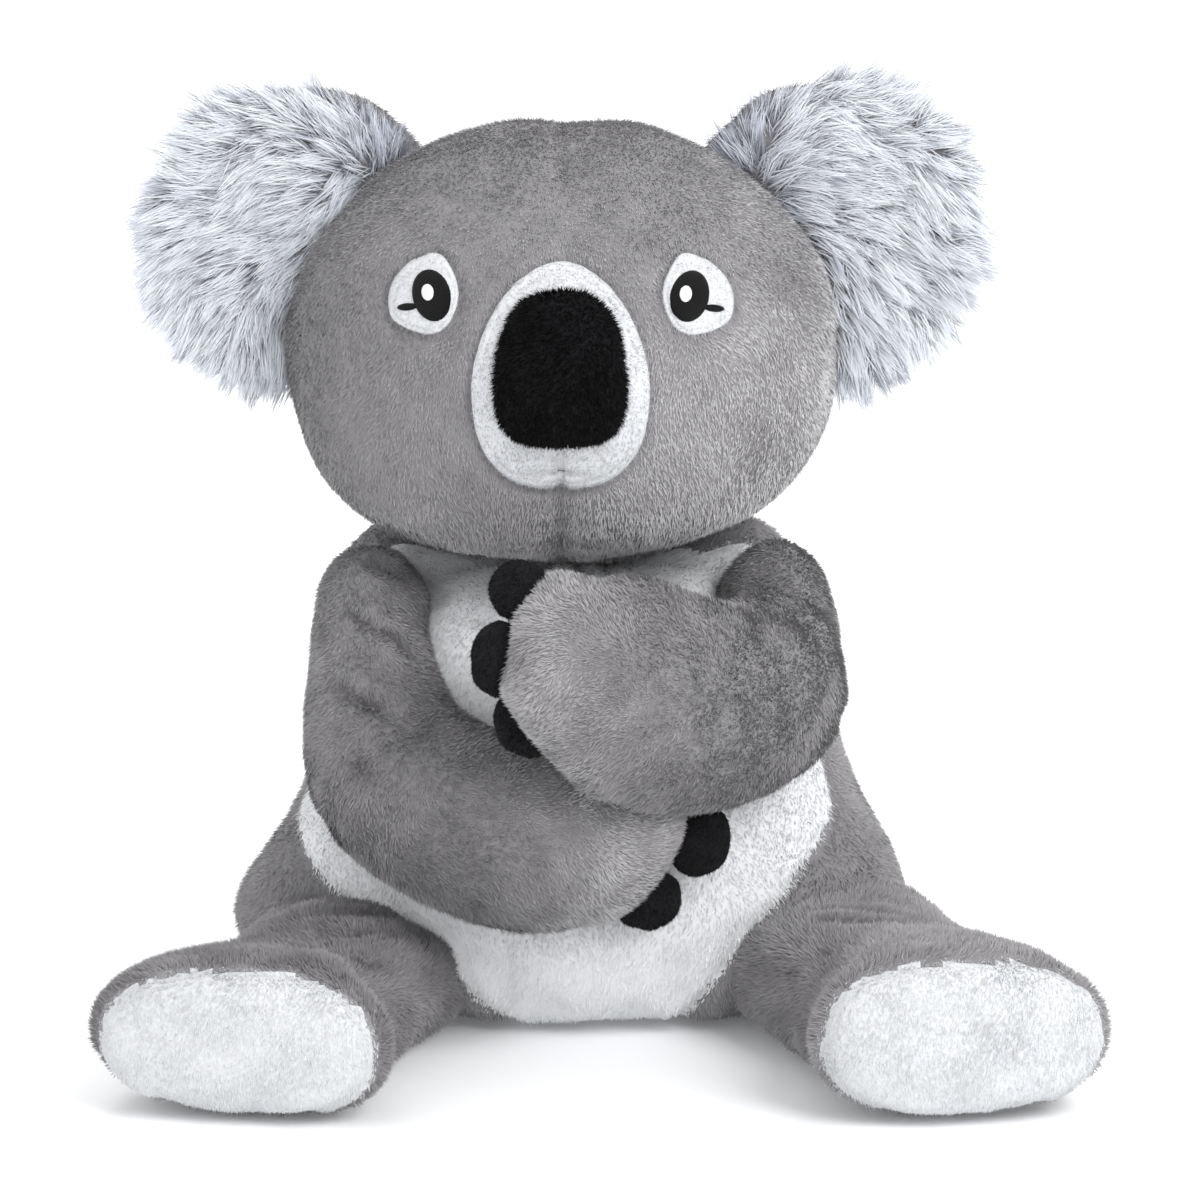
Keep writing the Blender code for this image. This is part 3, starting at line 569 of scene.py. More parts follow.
# %% Blades from lines
def blades(name, lines, normals, tones, widths, finish, shine=0.85, turn=0.7, seed=3):
    """One tapered ribbon for each line of points, from root to tip, and none below the ground."""
    count, steps = lines.shape[0], lines.shape[1] - 1
    lines[:, :, 2] = np.maximum(lines[:, :, 2], 0.0)
    along = unit(np.gradient(lines, axis=1))
    across = unit(np.cross(along, normals[:, None, :]))
    twist = np.random.default_rng(seed).uniform(-turn, turn, count)[:, None, None]
    across = across * np.cos(twist) + np.cross(along, across) * np.sin(twist)
    taper = (1 - np.linspace(0, 1, steps + 1)[:-1] ** 1.6)[None, :, None]
    half = across[:, :-1] * widths[:, None, None] / 2 * taper
    left, right = lines[:, :-1] - half, lines[:, :-1] + half
    per = 2 * steps + 1
    points = np.empty((count, per, 3))
    points[:, 0:-1:2], points[:, 1:-1:2], points[:, -1] = left, right, lines[:, -1]
    faces = []
    for k in range(steps - 1):
        faces += [(2 * k, 2 * k + 1, 2 * k + 3), (2 * k, 2 * k + 3, 2 * k + 2)]
    faces.append((2 * steps - 2, 2 * steps - 1, 2 * steps))
    faces = np.array(faces)
    index = (faces[None] + (np.arange(count) * per)[:, None, None]).reshape(-1)
    mesh = bpy.data.meshes.new(name)
    mesh.vertices.add(count * per)
    mesh.vertices.foreach_set("co", points.astype(np.float32).ravel())
    total = len(index) // 3
    mesh.loops.add(total * 3)
    mesh.loops.foreach_set("vertex_index", index.astype(np.int32))
    mesh.polygons.add(total)
    mesh.polygons.foreach_set("loop_start", np.arange(total, dtype=np.int32) * 3)
    mesh.update(calc_edges=True)
    heights = np.repeat(np.linspace(0, 1, steps + 1), 2)[:per]
    heights[-1] = 1.0
    sides = np.tile([-0.012, 0.012], steps + 1)[:per]
    sides[-1] = 0
    chart = np.stack(
        [np.clip(tones[:, None] * 0.94 + 0.03 + sides[None], 0.002, 0.998),
         np.broadcast_to(heights * 0.96 + 0.02, (count, per))], axis=2)
    layer = mesh.uv_layers.new(name="OFBake")
    layer.data.foreach_set("uv", chart.reshape(-1, 2)[index].astype(np.float32).ravel())
    flat = np.cross(across, along)
    facing = unit(normals[:, None, :] * (1 - shine) + flat * shine)
    spread = np.empty((count, per, 3))
    spread[:, 0:-1:2], spread[:, 1:-1:2], spread[:, -1] = facing[:, :-1], facing[:, :-1], facing[:, -1]
    mesh.normals_split_custom_set_from_vertices(spread.reshape(-1, 3).tolist())
    mesh.materials.append(finish)
    piece = bpy.data.objects.new(name, mesh)
    bpy.context.scene.collection.objects.link(piece)
    print(name, count, "blades,", total, "triangles")
    return piece


# %% Short pile on a skin
def short_pile(name, roots, normals, lie, tones, finish,
               length=0.0026, width=0.00066, lift=0.62, seed=5, sunk=0.0003, loose=0.14):
    """Straight blades of about one length, which lean along the nap."""
    chance = np.random.default_rng(seed)
    count = len(roots)
    stray = chance.normal(size=(count, 3)) * loose
    tilt = lift + 0.12 * ripple(roots, 0.011, seed + 2) + chance.normal(size=count) * 0.12
    heading = unit(lie * np.cos(tilt)[:, None] + normals * np.sin(tilt)[:, None] + stray)
    reach = length * np.clip(1 + 0.22 * chance.normal(size=count), 0.5, 1.5)
    lines = np.stack([roots - normals * sunk, roots + heading * reach[:, None]], axis=1)
    return blades(name, lines, normals, tones, width * chance.uniform(0.7, 1.3, count), finish)


# %% [markdown]
# ## The body
#
# The body is a pear with a wide seat. It leans a little to its right as it rises, as a soft toy does
# when its arms pull on it. The white belly is a panel of its own, sewn in with a seam all round. The
# form is bridged over level ribs, then remeshed evenly so that folds and seams can be pressed in.

# %% Body skin
UP, ACROSS, BACK = (0, 0, 1), (1, 0, 0), (0, 1, 0)
sides = {"left": 1, "right": -1}
body_high, body_half_wide, body_half_deep = 0.196, 0.138, 0.092
body_lean = 0.0115
body_rows = [
    # height share, half width, half depth, forward shift
    (0.00, 0.70, 0.68, 0.00), (0.05, 0.88, 0.88, 0.00), (0.15, 0.98, 0.98, 0.01),
    (0.28, 0.985, 1.00, 0.03), (0.40, 0.915, 0.97, 0.03), (0.52, 0.845, 0.89, 0.02),
    (0.68, 0.80, 0.79, 0.00), (0.84, 0.775, 0.69, -0.02), (0.935, 0.70, 0.58, -0.04),
    (0.98, 0.56, 0.46, -0.05), (1.00, 0.32, 0.26, -0.05),
]


def middle_at(height):
    return -body_lean * height / body_high


def sway_at(height):
    """The belly sags a little to the toy's right."""
    return -0.0042 * math.exp(-(((height - 0.098) / 0.050) ** 2))


body_ribs = []
for share in (0, 0.02, 0.06, 0.12, 0.2, 0.3, 0.4, 0.5, 0.6, 0.7, 0.8, 0.87, 0.93, 0.97, 1.0):
    wide, deep, forward = row_between(body_rows, share)
    height = share * body_high
    middle = (middle_at(height) + sway_at(height), -forward * body_half_deep, height)
    body_ribs.append((middle, ACROSS, BACK, wide * body_half_wide, deep * body_half_deep))
body_skin = even_out(ribbed_form("body_skin", body_ribs, 28, 2.25), 0.0028)
print("body skin faces", len(body_skin.data.polygons))

# %% [markdown]
# The seam of the belly panel is a line on the front of the body. Its distance from any place on the
# skin is all that is needed to press in the seam, and to tell white pile from grey.

# %% Distance to an outline
def smooth_loop(points, per_point=6):
    points = np.array(points, dtype=float)
    a, b, c, d = (np.roll(points, k, axis=0) for k in (1, 0, -1, -2))
    t = (np.arange(per_point) / per_point)[None, :, None]
    a, b, c, d = (p[:, None, :] for p in (a, b, c, d))
    square, cube = 2 * a - 5 * b + 4 * c - d, 3 * b - a - 3 * c + d
    loop = 0.5 * (2 * b + (c - a) * t + square * t**2 + cube * t**3)
    return loop.reshape(-1, 2)


def inside_by(points, loop):
    """How far each (x, z) point is inside a closed outline, negative outside."""
    found = np.full(len(points), 1e9)
    crossings = np.zeros(len(points), dtype=int)
    for a, b in zip(loop, np.roll(loop, -1, axis=0)):
        edge = b - a
        share = np.clip(((points - a) @ edge) / max(edge @ edge, 1e-12), 0, 1)
        found = np.minimum(found, np.linalg.norm(points - a - share[:, None] * edge, axis=1))
        level = (a[1] > points[:, 1]) != (b[1] > points[:, 1])
        side = a[0] + (points[:, 1] - a[1]) / ((b[1] - a[1]) or 1e-12) * edge[0]
        crossings += level & (points[:, 0] < side)
    return np.where(crossings % 2 == 1, found, -found)


def whole(half):
    """A whole outline from its right half, listed from one end to the other."""
    return half + [(-x, z) for x, z in half[-2:0:-1]]


panel_points = [
    # down the toy's left side, under the belly, and up its right side
    (0.060, 0.214), (0.070, 0.180), (0.086, 0.150), (0.103, 0.122), (0.104, 0.096), (0.082, 0.066),
    (0.058, 0.038), (0.036, 0.006), (0.020, -0.006), (-0.024, -0.006), (-0.042, 0.008), (-0.074, 0.034),
    (-0.112, 0.058), (-0.130, 0.080), (-0.126, 0.106), (-0.110, 0.140), (-0.094, 0.175), (-0.080, 0.214),
]
panel_loop = smooth_loop(panel_points)


def in_panel(points):
    """Distance inside the belly panel, which ends at the flanks and in front of the neck."""
    found = inside_by(points[:, [0, 2]], panel_loop)
    at_neck = smooth_step(0.168, 0.188, points[:, 2])
    aside = smooth_step(0.028, 0.060, np.abs(points[:, 0] - middle_at(points[:, 2])))
    at_flank = -0.0335 + 0.17 * np.maximum(-points[:, 0], 0)
    back_edge = at_flank * (1 - at_neck) + (0.014 - 0.024 * aside) * at_neck
    soft = 0.004
    return -soft * np.logaddexp(-found / soft, (points[:, 1] - back_edge) / soft)


# %% Seams and folds of the body
def swell(points, normals, place, height, reach):
    """How far each point is pushed out by a soft lump at a place."""
    away = np.linalg.norm(points - np.array(place), axis=1) / reach
    return normals * (height * np.exp(-(away**2)))[:, None]


body_lumps = [
    # place, height and reach: the right haunch, the two shoulders and the chest
    ((-0.140, -0.020, 0.040), 0.020, 0.025), ((0.062, 0.004, 0.192), 0.020, 0.026),
    ((-0.088, 0.002, 0.190), 0.019, 0.026), ((-0.012, -0.045, 0.196), 0.007, 0.034),
]
points, normals = points_of(body_skin), normals_of(body_skin)
for place, height, reach in body_lumps:
    points += swell(points, normals, place, height, reach)
put_points(body_skin, points)
stuff(body_skin, lambda p: (np.abs(in_panel(p)) < 0.004) | (p[:, 2] < 0.004) | (p[:, 2] > 0.190))
points, normals = points_of(body_skin), normals_of(body_skin)
seam = np.exp(-((in_panel(points) / 0.0028) ** 2))
around = np.arctan2(points[:, 0] - middle_at(points[:, 2]), -points[:, 1])
drawn = smooth_step(0.135, 0.185, points[:, 2]) * (points[:, 1] < 0.02)
folds = (np.sin(around * 17 + 2 * ripple(points, 0.05, 3)) * 0.5 + 0.5) * drawn
hollows = 0.0016 * ripple(points, 0.045, 11)
points -= normals * (0.0022 * seam + 0.0030 * folds - hollows)[:, None]
points[:, 2] = np.maximum(points[:, 2], 0.0)
put_points(body_skin, points)
relax(body_skin, 0.4, 2)
body_tree = tree_of(body_skin)

# %% [markdown]
# ## The head
#
# The head is the largest form: wide, low and fuller at the cheeks than at the crown. One seam runs
# over it from the crown, under the nose and down to the chin, and draws in small puckers.

# %% Head skin
face_x = -0.016  # the head leans a little to the toy's right
head_middle = Vector((face_x, -0.025, 0.2934))
head_half = (0.1158, 0.100, 0.093)
head_ribs = []
for angle in (-86, -78, -68, -57, -45, -33, -21, -9, 3, 15, 27, 39, 51, 62, 72, 80, 86):
    z = math.sin(math.radians(angle))
    fullness = 2.62 if z < 0 else 1.97
    profile = max(1 - abs(z) ** fullness, 0) ** (1 / fullness)
    middle = head_middle + Vector((0, 0, z * head_half[2]))
    head_ribs.append((tuple(middle), ACROSS, BACK, profile * head_half[0], profile * head_half[1]))
head_skin = even_out(ribbed_form("head_skin", head_ribs, 28), 0.0024)

points = points_of(head_skin)
local = points - np.array(head_middle)
front = smooth_step(0.0, -0.06, local[:, 1])
away = np.hypot(local[:, 0], local[:, 2]) / 0.045
points[:, 1] -= 0.007 * np.exp(-(away**2)) * front
put_points(head_skin, points)


def head_seam(points):
    """The cloth is held along the seam, but not under the muzzle, and all round the neck."""
    local = points - np.array(head_middle)
    on_seam = (np.abs(local[:, 0]) < 0.004) & (points[:, 1] < 0.03) & (np.abs(local[:, 2]) > 0.040)
    return on_seam | (points[:, 2] < 0.204)


def puckered(local, reach, spacing):
    """Small tucks across the seam down the middle of the face, which fade to its sides."""
    fade = np.exp(-((local[:, 0] / reach) ** 2))
    return fade * (np.sin(local[:, 2] * 2 * math.pi / spacing) * 0.5 + 0.5)


stuff(head_skin, head_seam)
points = points_of(head_skin)
local = points - np.array(head_middle)
normals = normals_of(head_skin)
lumps = 0.0018 * ripple(points, 0.06, 21) + 0.0006 * ripple(points, 0.02, 22)
line = np.exp(-((local[:, 0] / 0.0030) ** 2))
on_crown = smooth_step(0.070, 0.085, local[:, 2]) * smooth_step(0.03, -0.01, local[:, 1])
on_chin = smooth_step(-0.025, -0.045, local[:, 2]) * front
drawn = line * (0.0013 * on_crown + 0.0026 * on_chin) + 0.0013 * puckered(local, 0.013, 0.0085) * on_chin
points += normals * (lumps - drawn)[:, None]
put_points(head_skin, points)
relax(head_skin, 0.3, 1)
print("head skin faces", len(head_skin.data.polygons))

# %% [markdown]
# ## Patches on the face
#
# Eyes, muzzle and nose are separate pieces of plush laid on the head and sewn round their edges.
# Each is a thin pillow: a flattened ball whose rim follows an outline and whose every point is set
# at a height over the head, so that it hugs the head's curve.

# %% A pillow that hugs the head
def front_of(piece, under=None):
    """Gives a function that finds the piece's front, seen straight on, or else what lies under it."""
    tree = tree_of(piece)

    def front_at(x, z):
        place, normal, _, _ = tree.ray_cast(Vector((x, -0.5, z)), Vector((0, 1, 0)))
        return (place, normal) if place is not None or under is None else under(x, z)

    return front_at


def pillow(name, loop, thickness, ground, turns, rings, edge=0.35):
    """A thin pillow laid on the ground that a function like the one above gives."""
    loop = np.array(loop)
    middle = loop.mean(0)
    let_go()
    bpy.ops.mesh.primitive_uv_sphere_add(
        segments=turns, ring_count=rings, radius=1, rotation=(math.pi / 2, 0, 0))
    piece = bpy.context.object
    piece.name = piece.data.name = name
    bpy.ops.object.transform_apply(location=True, rotation=True, scale=True)
    points = points_of(piece)
    radius = np.clip(np.hypot(points[:, 0], points[:, 2]), 0, 1)
    angle = np.arctan2(points[:, 2], points[:, 0])
    spokes = loop - middle
    order = np.argsort(np.arctan2(spokes[:, 1], spokes[:, 0]))
    bearing = np.arctan2(spokes[order, 1], spokes[order, 0])
    length = np.hypot(spokes[order, 0], spokes[order, 1])
    reach = np.interp(angle, bearing, length, period=2 * math.pi)
    spread = radius**0.8
    x = middle[0] + np.cos(angle) * reach * spread
    z = middle[1] + np.sin(angle) * reach * spread
    rise = np.clip(1 - spread ** 3, 0, 1) ** edge
    for i in range(len(points)):
        place, normal = ground(x[i], z[i])
        lifted = thickness * rise[i] if points[i, 1] < 0 else -0.0012
        points[i] = place + normal * lifted
    put_points(piece, points)
    return weld(piece, 0.00005)


# %% Outlines of the patches
muzzle_half = [(0.00, 1.00), (0.42, 0.88), (0.76, 0.58), (0.96, 0.18), (1.00, -0.20),
               (0.90, -0.60), (0.62, -0.88), (0.22, -0.995), (0.00, -1.00)]
nose_half = [(0.00, 1.00), (0.45, 0.93), (0.74, 0.72), (0.92, 0.36), (1.00, -0.20),
             (0.94, -0.66), (0.72, -0.91), (0.36, -0.985), (0.00, -1.00)]
muzzle_loop = smooth_loop([(face_x + x * 0.0355, 0.2912 + z * 0.0458) for x, z in whole(muzzle_half)])
nose_loop = smooth_loop([(face_x + x * 0.0262, 0.2965 + z * 0.0303) for x, z in whole(nose_half)])
eye_outline = [(-0.38, 1.00), (-0.80, 0.64), (-1.00, 0.04), (-0.76, -0.66), (-0.30, -0.98),
               (0.30, -0.96), (0.86, -0.74), (1.00, -0.30), (0.86, 0.22), (0.38, 0.72)]
eye_places, eye_loops = {}, {}
for name, side in sides.items():
    x, z = eye_places[name] = (face_x + side * 0.0555, 0.3234)
    eye_loops[name] = smooth_loop(
        [(x + side * out * 0.0142, z + up * 0.0152) for out, up in eye_outline])

# %% [markdown]
# The thread that holds a patch pulls the grey plush down all round it, and draws it in small
# puckers. So a shallow groove is pressed into the head along each outline.

# %% Grooves round the patches
points, normals = points_of(head_skin), normals_of(head_skin)
facing = normals[:, 1] < -0.1
for loop, depth in ((muzzle_loop, 0.0022), *((loop, 0.0020) for loop in eye_loops.values())):
    found = inside_by(points[:, [0, 2]], loop)
    middle = loop.mean(0)
    turn = np.arctan2(points[:, 2] - middle[1], points[:, 0] - middle[0])
    tucks = 0.75 + 0.25 * np.sin(turn * 46)
    groove = np.exp(-(((found + 0.0016) / 0.0024) ** 2)) * tucks
    points -= normals * (depth * groove * facing)[:, None]
put_points(head_skin, points)
head_tree = tree_of(head_skin)
face_at = front_of(head_skin)

# %% Muzzle patch and nose
def stitched_rim(piece, loop, inward=0.0024, depth=0.0006):
    """A line of stitches a little inside the edge, which leaves a thin raised rim."""
    points, normals = points_of(piece), normals_of(piece)
    found = inside_by(points[:, [0, 2]], loop)
    line = np.exp(-(((found - inward) / 0.0008) ** 2)) * (normals[:, 1] < 0)
    put_points(piece, points - normals * (depth * line)[:, None])


muzzle = pillow("muzzle_pad", muzzle_loop, 0.0032, face_at, 128, 96, edge=0.28)
stitched_rim(muzzle, muzzle_loop)
points, normals = points_of(muzzle), normals_of(muzzle)
local = points - np.array(head_middle)
below = smooth_step(-0.018, -0.034, local[:, 2])
line = np.exp(-((local[:, 0] / 0.0014) ** 2))
points -= normals * ((0.0012 * line + 0.0005 * puckered(local, 0.010, 0.0062)) * below)[:, None]
put_points(muzzle, points)
nose = pillow("nose_pad", nose_loop, 0.0085, front_of(muzzle, face_at), 72, 24, edge=0.55)
print("muzzle faces", len(muzzle.data.polygons), "nose faces", len(nose.data.polygons))

# %% [markdown]
# ## The eyes
#
# Each eye is a pale patch with a pupil in black satin stitch, a white glint and one short lash. The
# satin stitch is fine parallel thread, which the finish shows as a fine wave across the thread.

# %% Satin stitch finish
def satin_finish(name, deep, light, gloss):
    thread = Finish(name)
    where = thread.node("ShaderNodeTexCoord", out="Object")
    turned = thread.node("ShaderNodeMapping", {}, {0: where, "Rotation": (0, 0.5, 0)})
    rows = thread.node("ShaderNodeTexWave", {"wave_type": "BANDS", "bands_direction": "Z"},
                       {"Vector": turned, "Scale": 420, "Distortion": 1.2, "Detail": 2})
    loose = thread.spot(300, 2)
    tint = thread.mix(rows * 0.7 + loose * 0.3, deep, light)
    relief = thread.bump(rows, 0.6, 0.0005)
    return thread.set(colour=tint, rough=0.5, gloss=gloss, sheen=0.03, normal=relief)


black_satin = satin_finish("black satin stitch", (0.0015, 0.0015, 0.0015), (0.008, 0.008, 0.0085), 0.10)
white_satin = satin_finish("white satin stitch", (0.62, 0.63, 0.64), (0.9, 0.9, 0.9), 0.3)

# %% Eye patches, pupils, glints and lashes
def oval(middle, half_x, half_z, lean, count=40):
    angles = np.arange(count) * 2 * math.pi / count
    u, v = np.cos(angles) * half_x, np.sin(angles) * half_z
    return np.stack([middle[0] + u * math.cos(lean) - v * math.sin(lean),
                     middle[1] + u * math.sin(lean) + v * math.cos(lean)], axis=1)


eye_pieces = {}
for name, side in sides.items():
    x, z = eye_places[name]
    patch = pillow(f"{name}_eye_pad", eye_loops[name], 0.0026, face_at, 80, 48, edge=0.28)
    stitched_rim(patch, eye_loops[name], 0.0016, 0.0005)
    patch_at = front_of(patch, face_at)
    pupil_x = x - side * 0.0032
    pupil_line = oval((pupil_x, z), 0.0080, 0.0100, -side * 0.21)
    pupil = pillow(f"{name}_pupil_stitch", pupil_line, 0.0012, patch_at, 40, 12)
    glint_line = oval((pupil_x - 0.0016, z + 0.0014), 0.0025, 0.0032, 0)
    glint = pillow(f"{name}_glint_stitch", glint_line, 0.0007, front_of(pupil, patch_at), 24, 12)
    start = pupil_x + side * 0.0072
    lash_line = oval((start + side * 0.0028, z - 0.0052), 0.0046, 0.0014, -side * 0.20, 32)
    lash = pillow(f"{name}_lash_stitch", lash_line, 0.0009, patch_at, 24, 8)
    eye_pieces[name] = (patch, pupil, glint, lash)
print("eyes made", list(eye_pieces))

# %% [markdown]
# ## Arms
#
# Both arms are cut from one pattern. The left one lies over the right one, and both rest on the
# belly. An arm is bridged over ribs that stand across its line, from inside the shoulder to the paw,
# and closed with a round end. It is then pressed off the body, and the right arm off the left one.

# %% Ribs across a limb
def limb_ribs(stations, cap, steps=13):
    rows = [(i, *values) for i, values in enumerate(stations)]
    line = [row_between(rows, i * (len(rows) - 1) / steps) for i in range(steps + 1)]
    ribs = []
    for i, (x, y, z, half_up, half_across) in enumerate(line):
        before, after = line[max(i - 1, 0)], line[min(i + 1, steps)]
        along = Vector(after[:3] - before[:3]).normalized()
        side = along.cross(Vector(UP)).normalized()
        ribs.append((Vector((x, y, z)), side, side.cross(along), half_across, half_up))
    middle, side, up, half_across, half_up = ribs[-1]
    for bend in (22, 44, 64, 80):
        angle = math.radians(bend)
        shrink = math.cos(angle) ** 0.75
        place = middle + along * cap * math.sin(angle)
        ribs.append((place, side, up, half_across * shrink, half_up * shrink))
    middle, side, up, half_across, half_up = ribs[0]
    start = Vector(line[1][:3] - line[0][:3]).normalized()
    for bend in (25, 50, 72):
        angle = math.radians(bend)
        shrink = math.cos(angle)
        place = middle - start * half_across * math.sin(angle)
        ribs.insert(0, (place, side, up, half_across * shrink, half_up * shrink))
    return [(tuple(m), tuple(s), tuple(u), a, b) for m, s, u, a, b in ribs]


arm_reach, arm_half_up, arm_half_deep = 0.120, 0.0455, 0.0360
arm_shares = {
    # across the body, forward of the shoulder, up, half height and half depth
    "left": [(-0.015, 0.000, 0.035, 0.84, 0.72), (-0.010, 0.225, -0.075, 0.86, 0.82),
             (0.105, 0.517, -0.125, 0.945, 0.94), (0.350, 0.783, -0.058, 1.00, 1.00),
             (0.617, 0.933, 0.042, 0.97, 0.97), (0.760, 0.975, 0.110, 0.81, 0.89)],
    "right": [(-0.045, 0.000, 0.085, 0.86, 0.66), (-0.025, 0.142, -0.175, 0.90, 0.82),
              (0.040, 0.342, -0.392, 0.90, 0.94), (0.265, 0.542, -0.508, 0.88, 0.945),
              (0.575, 0.650, -0.555, 0.86, 0.86), (0.840, 0.650, -0.562, 0.73, 0.78)],
}
paw_caps = {"left": 0.018, "right": 0.025}
paw_corners = {
    # a place on the plane that rounds off the paw's lower corner, and the way it faces
    "left": ((-0.0245, -0.152, 0.1510), (-0.81, 0, -0.59)),
    "right": ((0.0240, -0.115, 0.0850), (0.79, 0, -0.61)),
}
arm_lumps = {
    # place, height and reach of a soft lump: the corner of the paw, and the top of the shoulder
    "left": [((-0.027, -0.155, 0.209), 0.0085, 0.017), ((0.078, -0.040, 0.198), 0.0040, 0.024)],
    "right": [((-0.098, -0.040, 0.200), 0.0045, 0.024)],
}
shoulder_height, shoulder_apart = 0.166, 0.082
shoulders = {
    name: Vector((middle_at(shoulder_height) + side * shoulder_apart, -0.035, shoulder_height))
    for name, side in sides.items()
}

# %% Round off a corner
def trim(piece, place, outward):
    """Draws in what stands out past a plane, softly."""
    points = points_of(piece)
    outward = unit(np.array(outward, dtype=float))
    over = (points - np.array(place)) @ outward
    soft = 0.004
    eased = np.where(over > -30 * soft, soft * np.log1p(np.exp(np.clip(over / soft, -30, 30))), 0)
    put_points(piece, points - outward * (eased * 0.85)[:, None])


# %% Arm skins
def uneven(points, normals, seed):
    """Filling lies in soft lumps, large and small."""
    lumps = 0.0012 * ripple(points, 0.035, seed) + 0.0006 * ripple(points, 0.014, seed + 1)
    return points + normals * lumps[:, None]


arm_skins, arm_lines = {}, {}
for name, side in sides.items():
    stations = [
        (*(shoulders[name] + Vector((-side * across, -forward, up)) * arm_reach),
         tall * arm_half_up, deep * arm_half_deep)
        for across, forward, up, tall, deep in arm_shares[name]
    ]
    arm_lines[name] = np.array([row[:3] for row in stations])
    skin = even_out(ribbed_form(f"{name}_arm_skin", limb_ribs(stations, paw_caps[name]), 22), 0.0026)
    start = arm_lines[name][0]
    stuff(skin, lambda p: np.linalg.norm(p - start, axis=1) < 0.034)
    points, normals = points_of(skin), normals_of(skin)
    points = uneven(points, normals, 31)
    for place, height, reach in arm_lumps[name]:
        points += swell(points, normals, place, height, reach)
    put_points(skin, points)
    press(skin, body_tree, 0.0012, shoulders[name], 0.036)
    trim(skin, *paw_corners[name])
    arm_skins[name] = skin
left_arm_tree = tree_of(arm_skins["left"])
press(arm_skins["right"], left_arm_tree, 0.0012)
for skin in arm_skins.values():
    relax(skin, 0.3, 2)

# %% [markdown]
# Where an arm bends at the shoulder, the plush gathers into a few deep creases, and the belly folds
# under the arms and the chin. Each is a short line on the skin, pressed in with a brush whose depth
# fades along the line. The same lines tell the pile later where it lies in shade.

# %% Creases
def crease(piece, start, end, depth, width):
    """Presses a valley along the line between two places, and raises its banks a little."""
    points, normals = points_of(piece), normals_of(piece)
    share, away = along_and_away(points, start, end)
    fade = np.sin(math.pi * np.clip(share, 0.02, 0.98)) ** 0.5
    valley = np.exp(-((away / width) ** 2)) - 0.35 * np.exp(-(((away - 2 * width) / width) ** 2))
    put_points(piece, points - normals * (depth * fade * valley)[:, None])


arm_creases = {
    # from, to, depth and width
    "left": [((0.066, -0.085, 0.190), (0.098, -0.078, 0.172), 0.0065, 0.0032),
             ((0.050, -0.085, 0.196), (0.062, -0.080, 0.184), 0.0060, 0.0040),
             ((0.078, -0.105, 0.150), (0.104, -0.075, 0.140), 0.0030, 0.0040)],
    "right": [((-0.106, -0.070, 0.184), (-0.078, -0.080, 0.170), 0.0060, 0.0034),
              ((-0.100, -0.060, 0.212), (-0.086, -0.060, 0.198), 0.0070, 0.0050),
              ((-0.116, -0.085, 0.160), (-0.088, -0.100, 0.146), 0.0036, 0.0040),
              ((-0.100, -0.110, 0.128), (-0.070, -0.118, 0.118), 0.0024, 0.0050)],
}
for name, lines in arm_creases.items():
    for start, end, depth, width in lines:
        crease(arm_skins[name], start, end, depth, width)
belly_creases = [
    ((-0.086, -0.060, 0.200), (-0.052, -0.075, 0.166), 0.0045, 0.0045),
    ((-0.050, -0.062, 0.203), (-0.030, -0.075, 0.180), 0.0030, 0.0040),
    ((0.020, -0.060, 0.206), (0.052, -0.066, 0.190), 0.0036, 0.0045),
    ((-0.122, -0.060, 0.086), (-0.078, -0.090, 0.046), 0.0042, 0.0050),
    ((-0.078, -0.090, 0.046), (-0.030, -0.098, 0.030), 0.0034, 0.0055),
    ((0.060, -0.085, 0.108), (0.096, -0.068, 0.120), 0.0030, 0.0050),
    ((0.030, -0.095, 0.060), (0.070, -0.085, 0.078), 0.0020, 0.0060),
]
haunch_creases = [
    ((-0.150, -0.035, 0.066), (-0.124, -0.062, 0.064), 0.0042, 0.0040),
    ((-0.156, -0.030, 0.050), (-0.136, -0.058, 0.054), 0.0036, 0.0036),
    ((0.128, -0.040, 0.084), (0.136, -0.045, 0.060), 0.0030, 0.0044),
]
for start, end, depth, width in belly_creases + haunch_creases:
    crease(body_skin, start, end, depth, width)
print("arms", {name: len(skin.data.polygons) for name, skin in arm_skins.items()})

# %% [markdown]
# ## Claws
#
# Three tabs of black felt are sewn into the end of each paw, like the petals of half a daisy. Each
# is a flattened ball with a thin edge, half inside the paw. They fan out round the paw's end.

# %% Claw tabs
def claw_tab(name, place, outward, across, wide, deep, thick):
    """A puffed round tab, its root in the paw, fullest in the middle and thin at the edge."""
    let_go()
    bpy.ops.mesh.primitive_uv_sphere_add(segments=40, ring_count=24, radius=1)
    tab = bpy.context.object
    tab.name = tab.data.name = name
    points = points_of(tab)
    edge = np.hypot(points[:, 0], points[:, 1])
    puff = np.sign(points[:, 2]) * np.clip(1 - edge**2.6, 0, 1) ** 0.62
    outward, across = np.array(outward), np.array(across)
    sideways = np.cross(across, outward)
    points = (np.array(place) + points[:, :1] * outward * deep + points[:, 1:2] * sideways * wide
              + puff[:, None] * across * thick)
    put_points(tab, points)
    weld(tab, 0.00003)
    points, normals = points_of(tab), normals_of(tab)
    put_points(tab, points + normals * (0.0004 * ripple(points, 0.006, 41))[:, None])
    return tab


